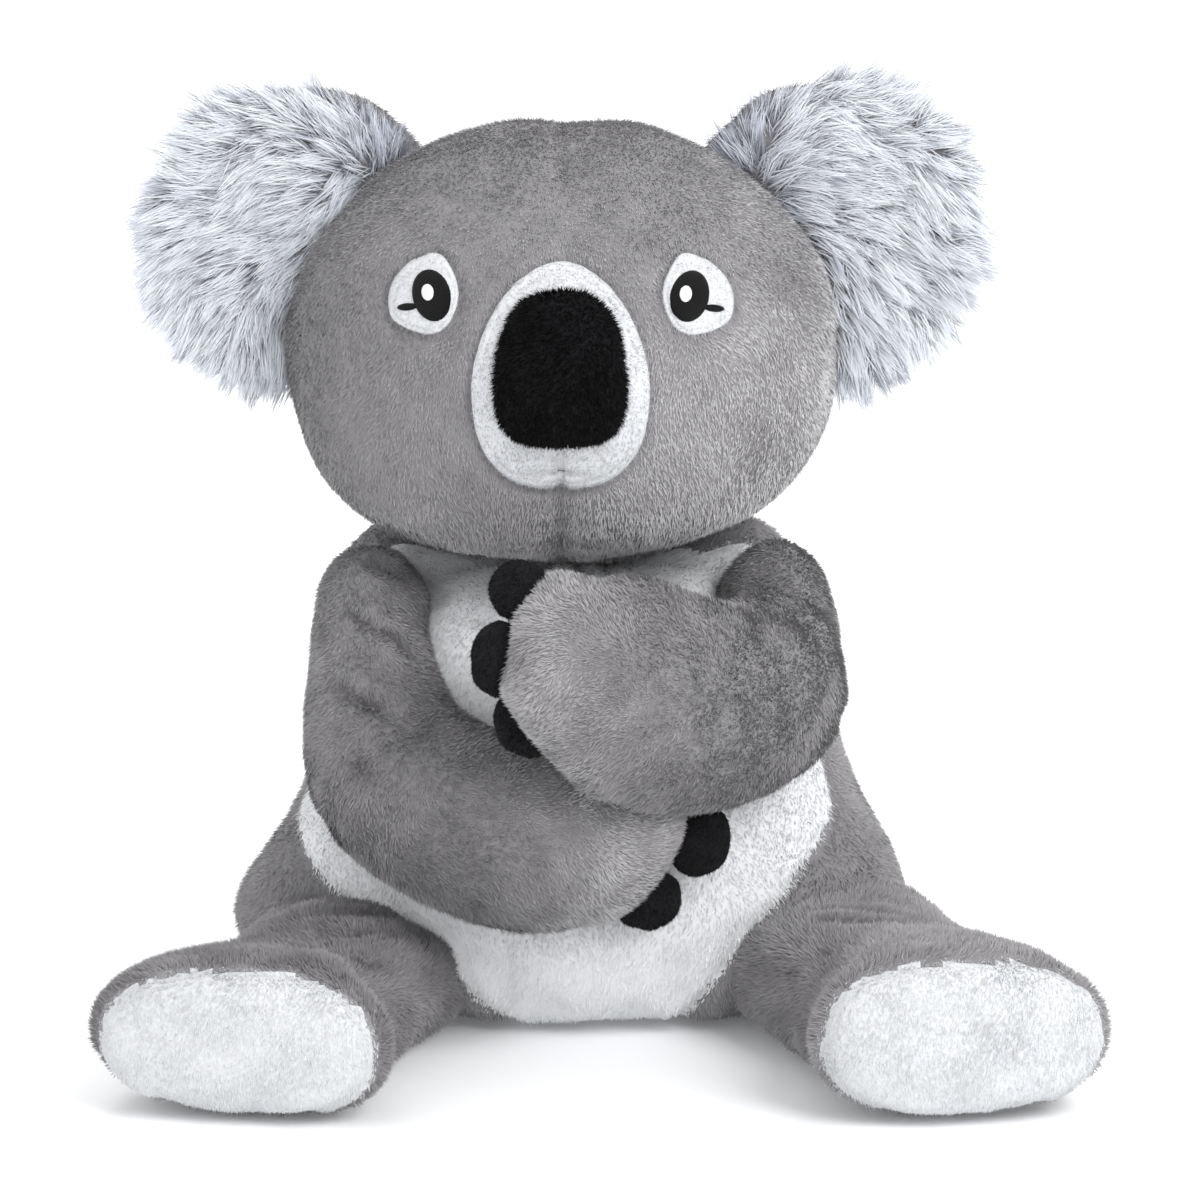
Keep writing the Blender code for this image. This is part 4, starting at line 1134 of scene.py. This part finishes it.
claw_places = {
    # sideways, up, outward sideways, outward up, half across, half out
    "left": {"upper": (-0.0325, 0.2115, -0.62, 0.78, 0.0125, 0.0122),
             "middle": (-0.041, 0.184, -0.98, 0.10, 0.0155, 0.0115),
             "lower": (-0.0290, 0.1565, -0.70, -0.71, 0.0155, 0.0135)},
    "right": {"upper": (0.033, 0.123, 0.70, 0.71, 0.0140, 0.0120),
              "middle": (0.0410, 0.0970, 0.97, -0.22, 0.0160, 0.0132),
              "lower": (0.0200, 0.0715, 0.48, -0.88, 0.0140, 0.0130)},
}
claw_half_thick = 0.0058
claw_clearance = 0.0034  # more than the arm's own, so that a claw lies under the paw's pile
claws = {}
for name in sides:
    before, last = (Vector(row) for row in arm_lines[name][-2:])
    along = (last - before).normalized()
    across = along.cross(Vector(UP)).normalized()
    for place, (x, z, out_x, out_z, wide, deep) in claw_places[name].items():
        slope = along.y / along.x
        spot = (x, last.y + (x - last.x) * slope, z)
        outward = Vector((out_x, out_x * slope, out_z)).normalized()
        tab = claw_tab(f"{name}_{place}_tab", spot, outward, across, wide, deep, claw_half_thick)
        if name == "right":
            press(tab, left_arm_tree, claw_clearance)
        claws[f"{name}_{place}_claw"] = tab
print("claws", list(claws))

# %% [markdown]
# ## Legs
#
# The legs lie splayed on the ground, flat below and round above, and turn outwards a little. Each
# ends in a large oval sole, a panel of white plush sewn into the grey.

# %% Leg skins
leg_reach, foot_half_wide, toe_lift = 0.150, 0.0602, 0.0030
foot_half_up = {"left": 0.0356, "right": 0.0334}
# half width, half height and height of the middle
sole_sizes = {"left": (0.0580, 0.0338, 0.0345), "right": (0.0568, 0.0318, 0.0322)}
leg_shares = [
    # outward from the hip, forward of it, half height, half width
    (0.000, 0.000, 0.88, 0.77), (0.132, 0.350, 0.84, 0.75), (0.242, 0.600, 0.84, 0.81),
    (0.306, 0.820, 0.94, 0.96), (0.324, 0.935, 0.99, 1.00),
]
leg_skins, leg_lines, sole_frames = {}, {}, {}
for name, side in sides.items():
    hip = Vector((side * 0.096, -0.048, 0.0355))
    stations = [
        (hip.x + side * outward * leg_reach, hip.y - forward * leg_reach,
         tall * foot_half_up[name], tall * foot_half_up[name], wide * foot_half_wide)
        for outward, forward, tall, wide in leg_shares
    ]
    leg_lines[name] = np.array([row[:3] for row in stations])
    skin = even_out(ribbed_form(f"{name}_leg_skin", limb_ribs(stations, 0.0165), 24, 2.5), 0.0030)
    stuff(skin, lambda p: (np.linalg.norm(p - np.array(hip), axis=1) < 0.045) | (p[:, 2] < 0.003))
    press(skin, body_tree, 0.0012, hip, 0.042, soft=0.024)
    points, normals = points_of(skin), normals_of(skin)
    points = uneven(points, normals, 51)
    points[:, 2] = np.maximum(points[:, 2], 0.0004)
    end, before = leg_lines[name][-1], leg_lines[name][-2]
    heading = unit((end - before) * (1, 1, 0))
    sole_frames[name] = (end, heading, np.cross(heading, UP))
    put_points(skin, points)
    leg_skins[name] = skin


leg_creases = {
    "left": [((0.088, -0.090, 0.062), (0.120, -0.105, 0.064), 0.0036, 0.0040),
             ((0.094, -0.108, 0.058), (0.128, -0.126, 0.062), 0.0030, 0.0036),
             ((0.082, -0.120, 0.040), (0.100, -0.134, 0.052), 0.0024, 0.0036)],
    "right": [((-0.088, -0.092, 0.060), (-0.128, -0.100, 0.062), 0.0038, 0.0040),
              ((-0.084, -0.108, 0.050), (-0.112, -0.122, 0.059), 0.0032, 0.0036),
              ((-0.086, -0.126, 0.036), (-0.100, -0.140, 0.050), 0.0026, 0.0036)],
}


def in_sole(points, name):
    """Distance inside the oval of the sole, in metres, and how far forward each point is."""
    end, heading, across = sole_frames[name]
    local = points - end
    half_wide, half_up, middle_up = sole_sizes[name]
    x, z, forward = local @ across, points[:, 2] - middle_up, local @ heading
    radius = (np.abs(x / half_wide) ** 2.5 + np.abs(z / half_up) ** 2.5) ** (1 / 2.5)
    return np.where(forward > 0.0, (1 - radius) * 0.040, -0.03), forward


for name, skin in leg_skins.items():
    points, normals = points_of(skin), normals_of(skin)
    found, forward = in_sole(points, name)
    seam = np.exp(-((found / 0.0025) ** 2)) * (forward > 0)
    flat = smooth_step(0.002, 0.012, found)
    heading = sole_frames[name][1]
    depth = np.clip(forward - 0.0135, 0, None) * 0.6 * flat
    points -= normals * (0.0020 * seam)[:, None] + heading * depth[:, None]
    low = np.clip(1 - points[:, 2] / (1.6 * foot_half_up[name]), 0, 1)
    points[:, 2] += toe_lift * smooth_step(-0.050, 0.005, forward) * low
    put_points(skin, points)
    relax(skin, 0.3, 1)
    for start, end, depth, width in leg_creases[name]:
        crease(skin, start, end, depth, width)
print("legs", {name: len(skin.data.polygons) for name, skin in leg_skins.items()})

# %% [markdown]
# ## Ears
#
# An ear has a short-pile grey back and a front of long tipped fur. Both are round, soft discs, on a
# rolled edge at the side of the head.

# %% Ear discs
ear_skins = {}
for name, side in sides.items():
    made = []
    ear_discs = (
        # apart, height, radius, half thickness and how far back
        ("fur", 0.1178 + 0.0008 * side, 0.3338 + 0.0020 * side, 0.0590, 0.0120, 0.0020),
        ("back", 0.1055, 0.3370, 0.0575, 0.0100, 0.0130),
    )
    for label, apart, height, radius, thick, y in ear_discs:
        middle = Vector((side * apart + face_x, y, height))
        ribs = []
        for bend in (-80, -60, -38, -16, 16, 38, 60, 80):
            angle = math.radians(bend)
            place = middle + Vector((0, thick * math.sin(angle), 0))
            reach = radius * math.cos(angle) ** 0.6
            ribs.append((tuple(place), ACROSS, (0, 0, -1), reach * 0.97, reach * 1.06))
        disc = even_out(ribbed_form(f"{name}_ear_{label}_skin", ribs, 26), 0.0026)
        points = points_of(disc)
        bow = ((points[:, 0] - middle.x) ** 2 + (points[:, 2] - middle.z) ** 2) / 0.055**2
        points[:, 1] -= 0.004 * bow * (label == "fur")
        normals = normals_of(disc)
        points += normals * (0.0012 * ripple(points, 0.02, 61 + side))[:, None]
        put_points(disc, points)
        press(disc, head_tree, 0.0012)
        made.append(disc)
    ear_skins[name] = made
print("ears made", list(ear_skins))

# %% [markdown]
# ## Neck
#
# Between body and head the plush is drawn in on a strong thread. The ring stands in narrow pleats.
# It is almost hidden, and shows from the back as a row of tucks.

# %% Pleated ring
neck_height = 0.172
neck_middle = Vector((middle_at(neck_height), 0.004, neck_height))
neck_rows = [(0.0252, 0.0370), (0.0275, 0.0385), (0.0310, 0.0360),
             (0.0350, 0.0325), (0.0385, 0.0275), (0.0398, 0.0240)]
neck_ribs = []
for height, reach in neck_rows:
    neck_ribs.append((tuple(neck_middle + Vector((0, 0, height))), ACROSS, BACK, reach, reach))
neck_ring = ribbed_form("neck_pleats", neck_ribs, 36)
points = points_of(neck_ring)
local = points - np.array(neck_middle)
around = np.arctan2(local[:, 1], local[:, 0])
pleats = 1 - 0.035 * (np.sin(around * 18) * 0.5 + 0.5)
points[:, 0] = neck_middle.x + local[:, 0] * pleats
points[:, 1] = neck_middle.y + local[:, 1] * pleats
put_points(neck_ring, points)
print("neck ring faces", len(neck_ring.data.polygons))

# %% [markdown]
# ## Pile on the body, head and limbs
#
# The grey plush has a pile of about 3 mm and the white one a little less. The nap runs down the body,
# down the head, along each arm to its paw and along each leg to the hip. Where white meets grey, the
# edge is a little ragged, because pile from both sides leans over the seam.

# %% Tones of the grey pile
def grey_tone_and_shading(points, seed, base=0.58, patch=0.035, grain=0.05, tucks=()):
    chance = np.random.default_rng(seed)
    broad = ripple(points, 0.030, seed + 1) + 0.8 * ripple(points, 0.010, seed + 2)
    nicks = smooth_step(1.2, 1.8, ripple(points * (1, 1, 1.9), 0.0026, seed + 3))
    # The one grey plush gets a base of its own on each piece, lighter on the head than on the limbs:
    # painted light on top and painted shade below.
    tone = base + patch * broad - 0.20 * nicks + grain * chance.normal(size=len(points))
    # Painted shade: the pile is darkened along each crease line given, where shade falls in the fold.
    for start, end, _, width in tucks:
        away = along_and_away(points, start, end)[1]
        tone -= 0.40 * np.exp(-((away / (width * 0.8)) ** 2))
    return np.clip(tone, 0, 1)


piles = []


def grow(skin, name, count, finish, tone_of, towards, keep=None, seed=7, swirl=0.6, **settings):
    """Plants one pile on a skin, only where `keep` is true, and notes it for the ride later."""
    roots, normals = places_on(skin, count, seed)
    chance = np.random.default_rng(seed + 1)
    if keep is not None:
        held = keep(roots + chance.normal(size=roots.shape) * 0.0007)
        roots, normals = roots[held], normals[held]
    direction = towards(roots) if callable(towards) else towards
    lie = nap(roots, normals, direction, swirl, seed=seed + 3)
    piece = short_pile(name, roots, normals, lie, tone_of(roots), finish, seed=seed + 5, **settings)
    piles.append((piece, skin))


# %% Body pile
few = 1.0
# The body's base tone is painted light and shade, and the haunch creases get painted shade in the pile.
grow(body_skin, "body_pile", int(150000 * few), grey_pile,
     lambda p: grey_tone_and_shading(p, 101, 0.50, tucks=haunch_creases), (0, 0, -1),
     keep=lambda p: (in_panel(p) < 0) & (p[:, 2] > 0.002))


def belly_tone_and_shading(points):
    """Painted light and shade: lighter towards the toy's right than its left, to even out the light, and
    lighter low down, where the arms shade the belly, with some tone at random.
    """
    # Painted light and shade: the sideways term evens out the light, and the low term lifts the arms'
    # shade.
    tone = 0.52 - 1.5 * points[:, 0] + 0.28 * smooth_step(0.075, 0.035, points[:, 2])
    grain = np.random.default_rng(112).normal(size=len(points))
    return np.clip(tone + 0.05 * ripple(points, 0.025, 111) + 0.05 * grain, 0, 1)


grow(body_skin, "belly_pile", int(150000 * few), white_pile, belly_tone_and_shading, (0, 0, -1),
     keep=lambda p: (in_panel(p) > 0) & (p[:, 2] > 0.002),
     length=0.0023, lift=0.50, loose=0.10, swirl=0.4, seed=17)

# %% Head pile
def head_tone_and_shading(points):
    """Painted shade in the grooves beside the patches, painted light towards the toy's left, where the
    key light falls, and painted light low on the head, in the shade under the chin.
    """
    # Painted light: the head grows lighter towards the toy's left, the side the key light comes from.
    tone = grey_tone_and_shading(points, 121, 0.660, grain=0.04) + 1.75 * (points[:, 0] - head_middle.x)
    # Painted light: lighter low on the head, in the shade under the chin.
    tone += 0.07 * smooth_step(head_middle.z - 0.050, head_middle.z - 0.075, points[:, 2])
    # Painted shade: the pile is darkened in the groove round the muzzle and each eye patch.
    in_front = points[:, 1] < -0.06
    for loop in (muzzle_loop, *eye_loops.values()):
        found = inside_by(points[:, [0, 2]], loop)
        tone -= 0.16 * np.exp(-(((found + 0.001) / 0.0016) ** 2)) * in_front
    return np.clip(tone, 0, 1)


grow(head_skin, "head_pile", int(185000 * few), grey_pile, head_tone_and_shading, (0, -0.25, -1),
     swirl=0.30, length=0.0023, width=0.0006, lift=0.55, seed=27)


# %% Arm and leg pile
def along_line(line):
    """A direction that follows a limb's line."""
    steps = np.diff(line, axis=0)
    middles = (line[1:] + line[:-1]) / 2

    def direction(points):
        near = np.argmin(np.linalg.norm(points[:, None, :] - middles[None], axis=2), axis=1)
        return unit(steps[near]) * (1, 0.25, 1) + np.array([0, 0, -0.30])

    return direction


def arm_tone_and_shading(points, name):
    """Painted shade in the creases, painted sheen on the paw, and painted light on the right arm, which
    lies in the left arm's shade.
    """
    # Painted sheen: the paw is lighter where its nap catches the light.
    away = np.linalg.norm((points - arm_lines[name][-1]) * (1, 1, 0.8), axis=1)
    paw = smooth_step(0.052, 0.026, away + 0.006 * ripple(points, 0.012, 131))
    # Painted light: the right arm, in the left arm's shade, gets a higher base; painted shade in its
    # creases.
    tone = grey_tone_and_shading(points, 133, 0.465 - 0.02 * sides[name], tucks=arm_creases[name])
    return np.clip(tone + 0.22 * paw, 0, 1)


def leg_tone_and_shading(points, name):
    # Painted light and shade: the toy's left leg gets a lighter base than its right, as the light falls,
    # and painted shade in the creases.
    return grey_tone_and_shading(points, 143, 0.420 + 0.075 * sides[name], patch=0.05, tucks=leg_creases[name])


def sole_tone_and_shading(points, name):
    # Painted light: the right sole, the same cloth as the left, is a little lighter, to even out the
    # light.
    grain = np.random.default_rng(152).normal(size=len(points))
    return np.clip(0.38 - 0.03 * sides[name] + 0.04 * ripple(points, 0.02, 151) + 0.05 * grain, 0, 1)


for name, side in sides.items():
    grow(arm_skins[name], f"{name}_arm_pile", int(95000 * few), grey_pile,
         lambda p: arm_tone_and_shading(p, name), along_line(arm_lines[name]), seed=37)
    grow(leg_skins[name], f"{name}_leg_pile", int(110000 * few), grey_pile,
         lambda p: leg_tone_and_shading(p, name), (0.25 * side, 1, -0.1),
         keep=lambda p: (in_sole(p, name)[0] < 0) & (p[:, 2] > 0.003), length=0.0032, seed=47)
    grow(leg_skins[name], f"{name}_sole_pile", int(150000 * few), white_pile,
         lambda p: sole_tone_and_shading(p, name), (0, 0, -1), keep=lambda p: in_sole(p, name)[0] > 0,
         length=0.0018, width=0.0005, lift=0.36, loose=0.06, swirl=0.2, seed=57)

grow(neck_ring, "neck_pile", int(16000 * few), grey_pile,
     lambda p: grey_tone_and_shading(p, 155, 0.42), (0, 0, -1), seed=63)

# %% Pile of the face
def face_tone(middle, spread):
    return lambda p: np.clip(middle + spread * np.random.default_rng(161).normal(size=len(p)), 0, 1)


grow(muzzle, "muzzle_pile", 22000, white_pile, face_tone(0.02, 0.04), (0, 0, -1),
     keep=lambda p: p[:, 1] < -0.1, length=0.0012, width=0.0005, lift=0.5, seed=67)
grow(nose, "nose_pile", 20000, black_pile, face_tone(0.5, 0.25), (0, 0, -1),
     keep=lambda p: p[:, 1] < -0.1, length=0.0024, width=0.0006, lift=0.9, swirl=0.9, seed=67)
for name, (patch, pupil, glint, lash) in eye_pieces.items():
    grow(patch, f"{name}_eye_pile", 6000, white_pile, face_tone(0.08, 0.04), (0, 0, -1),
         keep=lambda p: p[:, 1] < -0.06, length=0.0009, width=0.0004, lift=0.5, seed=77)
for name, claw in claws.items():
    paw_tree = tree_of(arm_skins[name.split("_")[0]])
    grow(claw, f"{name}_nap", int(3500 * few), black_pile, face_tone(0.7, 0.25), (0, 0, -1),
         keep=lambda p: clear_of(p, paw_tree), length=0.0012, width=0.0005, seed=73)

# %% [markdown]
# ## Long fur of the ears
#
# The fronts of the ears are long-pile fur, dark at the root and white at the tip. Fibres of such fur
# cling together in locks. So each lock has a line of its own, fanning out from the middle of the ear
# and drooping, and its fibres start apart and close in on that line towards the tip.

# %% Locks of fur
def ear_fur(name, side, skin, locks, fibres, seed):
    chance = np.random.default_rng(seed)
    fan_point = np.array((side * 0.078 + face_x, 0.0, 0.352))
    roots, normals = places_on(skin, locks * 3, seed)
    front = normals[:, 1] < 0.5
    roots, normals = roots[front][:locks], normals[front][:locks]
    count = len(roots)
    spoke = roots - fan_point
    spoke[:, 1] = 0
    stirred = np.stack(
        [ripple(roots, 0.016, seed + 1), np.zeros(count), ripple(roots, 0.016, seed + 2)], axis=1)
    outward = unit(unit(spoke) + np.array([side * 0.08, 0, -0.15]) + 0.45 * stirred)
    lift = 0.85 + 0.30 * ripple(roots, 0.010, seed + 3)[:, None]
    heading = unit(outward + normals * lift + chance.normal(size=(count, 3)) * 0.14)
    reach = chance.uniform(0.0100, 0.0168, count)[:, None]
    t = np.linspace(0, 1, 5)[None, :, None]
    bent = unit(outward + np.array([0, 0, -0.5])) * 0.35 + unit(chance.normal(size=(count, 3))) * 0.15
    spine = roots[:, None] - normals[:, None] * 0.001 + heading[:, None] * reach[:, None] * t
    spine = spine + (bent * reach)[:, None] * t**2
    each = np.repeat(spine, fibres, axis=0)
    total = count * fibres
    scatter = chance.normal(size=(total, 3)) * 0.0024
    stray = chance.normal(size=(total, 3)) * 0.0007
    closing = 1 - 0.78 * t**0.9
    lines = each + scatter[:, None] * closing + stray[:, None] * t
    stretch = chance.uniform(0.62, 1.06, total)[:, None, None]
    lines = lines[:, :1] + (lines - lines[:, :1]) * stretch
    inner = side * 0.071 + face_x  # the side of the ear that is next to the head
    near_head = smooth_step(0.024, -0.004, (np.repeat(roots, fibres, axis=0)[:, 0] - inner) * side)
    lock_tone = 0.04 * chance.normal(size=count) - 0.45 * (chance.random(count) < 0.06)
    tone = 0.98 - 0.42 * near_head + np.repeat(lock_tone, fibres) + 0.06 * chance.normal(size=total)
    widths = chance.uniform(0.00042, 0.00075, total)
    return blades(name, lines, np.repeat(normals, fibres, axis=0), np.clip(tone, 0, 1), widths,
                  ear_pile, shine=0.6, turn=0.5)


for name, side in sides.items():
    fur_skin, back_skin = ear_skins[name]
    piece = ear_fur(f"{name}_ear_fur_pile", side, fur_skin, int(1320 * (few * 0.6 + 0.4)), 20, 81)
    piles.append((piece, fur_skin))
    grow(fur_skin, f"{name}_ear_rim_pile", int(26000 * few), grey_pile,
         lambda p: grey_tone_and_shading(p, 183, 0.42), (side * 0.6, 0, -1),
         keep=lambda p: p[:, 1] > 0.006, seed=89)
    # a white fringe along the line where the fur meets the ear's back
    fringe = [(side * 0.1040 + face_x, 0.3985), (side * 0.0760 + face_x, 0.3640)]
    grow(back_skin, f"{name}_ear_edge_pile", int(60000 * few), white_pile, face_tone(0.75, 0.08),
         (-side * 0.7, 0, 1), length=0.0042, lift=0.8, seed=93,
         keep=lambda p: (along_and_away(p[:, [0, 2]], *fringe)[1] < 0.0030) & (p[:, 1] < 0.0085))
    grow(back_skin, f"{name}_ear_back_pile", int(30000 * few), grey_pile,
         lambda p: grey_tone_and_shading(p, 181, 0.40), (side * 0.4, 0, -1), seed=87)

# %% [markdown]
# ## Felt
#
# Felt has no weave. It is matted fibre, matte and a little fuzzy, which fine noise in two sizes shows.

# %% Felt finish
felt = Finish("black felt")
fuzz, matting = felt.spot(900, 3), felt.spot(160, 3)
felt_tint = felt.mix(matting * 0.6 + fuzz * 0.4, (0.003, 0.003, 0.0035), (0.020, 0.020, 0.022))
black_felt = felt.set(colour=felt_tint, rough=0.95, sheen=0.02, sheen_rough=0.6, gloss=0.05,
                      normal=felt.bump(fuzz + matting, 0.6, 0.0008))

# %% [markdown]
# ## Cloths, rides and what each piece stands for
#
# Each piece gets its cloth. Then it rides on the body of the frame that carries it, and the solids
# that it stands for are hidden.

# %% Dress a piece and let it ride
carriers = {}


def dress(piece, finish, body, solids):
    piece.data.materials.clear()
    piece.data.materials.append(finish)
    pick(piece)
    bpy.ops.object.shade_smooth()
    carriers[piece] = body
    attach(piece, body)
    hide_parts(*solids)


belly_skin = part_off(body_skin, lambda p: in_panel(p) > 0, "belly_skin")
body_solids = ("torso_cover", "torso_filling", "seat_bead_pouch")
dress(body_skin, grey_cloth, "torso", body_solids)
dress(belly_skin, white_cloth, "torso", ("belly_panel",))
dress(neck_ring, grey_cloth, "neck", ("neck_gather",))
dress(head_skin, grey_cloth, "head", ("head_cover", "head_filling"))
dress(muzzle, patch_cloth, "head", ("muzzle_patch",))
dress(nose, black_cloth, "head", ("nose",))
for name, (patch, pupil, glint, lash) in eye_pieces.items():
    dress(patch, patch_cloth, "head", (f"{name}_eye_patch",))
    dress(pupil, black_satin, "head", (f"{name}_pupil",))
    dress(glint, white_satin, "head", (f"{name}_eye_glint",))
    dress(lash, black_satin, "head", (f"{name}_lash",))
for name in sides:
    sole_skin = part_off(leg_skins[name], lambda p: in_sole(p, name)[0] > 0, f"{name}_sole_skin")
    for limb, skin in (("arm", arm_skins[name]), ("leg", leg_skins[name])):
        solids = (f"{name}_{limb}_cover", f"{name}_{limb}_filling")
        dress(skin, grey_cloth, f"{name}_{limb}", solids)
    dress(sole_skin, patch_cloth, f"{name}_leg", (f"{name}_sole",))
    dress(ear_skins[name][0], grey_cloth, f"{name}_ear", (f"{name}_ear_fur",))
    dress(ear_skins[name][1], grey_cloth, f"{name}_ear", (f"{name}_ear_back",))
    for place in ("upper", "middle", "lower"):
        claw = f"{name}_{place}_claw"
        dress(claws[claw], black_felt, f"{name}_arm", (claw,))

# %% The piles ride with their skins
for piece, skin in piles:
    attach(piece, carriers[skin])
print("piles riding:", len(piles))

# %% [markdown]
# ## Floor and light
#
# The photograph is a cut-out on white with only a faint shadow where the toy touches the ground. A
# large pale floor that glows a little does the same. One broad light stands above, in front and to
# the right of the view, a weak one fills in from the left, a third stands behind, and the
# surroundings are white.

# %% Floor
let_go()
bpy.ops.mesh.primitive_plane_add(size=12, location=(0, 0, cad_box[0].z))
floor = bpy.context.object
floor.name = "floor"
paper = Finish("paper")
paper_grain = paper.spot(30, 3)
paper_tint = paper.mix(paper_grain, (0.93, 0.935, 0.945), (0.95, 0.955, 0.96))
floor.data.materials.append(paper.set(colour=paper_tint, rough=0.9, gloss=0.1))
paper.shader.inputs["Emission Color"].default_value = (0.95, 0.97, 1.0, 1)
paper.shader.inputs["Emission Strength"].default_value = 0.10

# %% Lights
def soft_light(name, place, size, power):
    let_go()
    bpy.ops.object.light_add(type="AREA", location=place)
    light = bpy.context.object
    light.name = name
    light.data.shape = "DISK"
    light.data.size = size
    light.data.energy = power
    light.rotation_mode = "QUATERNION"
    light.rotation_quaternion = (Vector((0, 0, 0.15)) - Vector(place)).to_track_quat("-Z", "Y")


soft_light("key light", (1.4, -1.8, 1.8), 1.5, 46)
soft_light("side fill", (-2.0, -1.6, 1.2), 1.8, 6)
soft_light("back light", (0.2, 1.9, 2.2), 1.6, 20)
world = bpy.data.worlds.new("studio")
world.use_nodes = True
surroundings = world.node_tree.nodes["Background"].inputs
surroundings["Color"].default_value = (0.99, 0.99, 1.0, 1)
surroundings["Strength"].default_value = 1.04
bpy.context.scene.world = world
bpy.context.scene.view_settings.view_transform = "Standard"
bpy.context.scene.view_settings.look = "None"
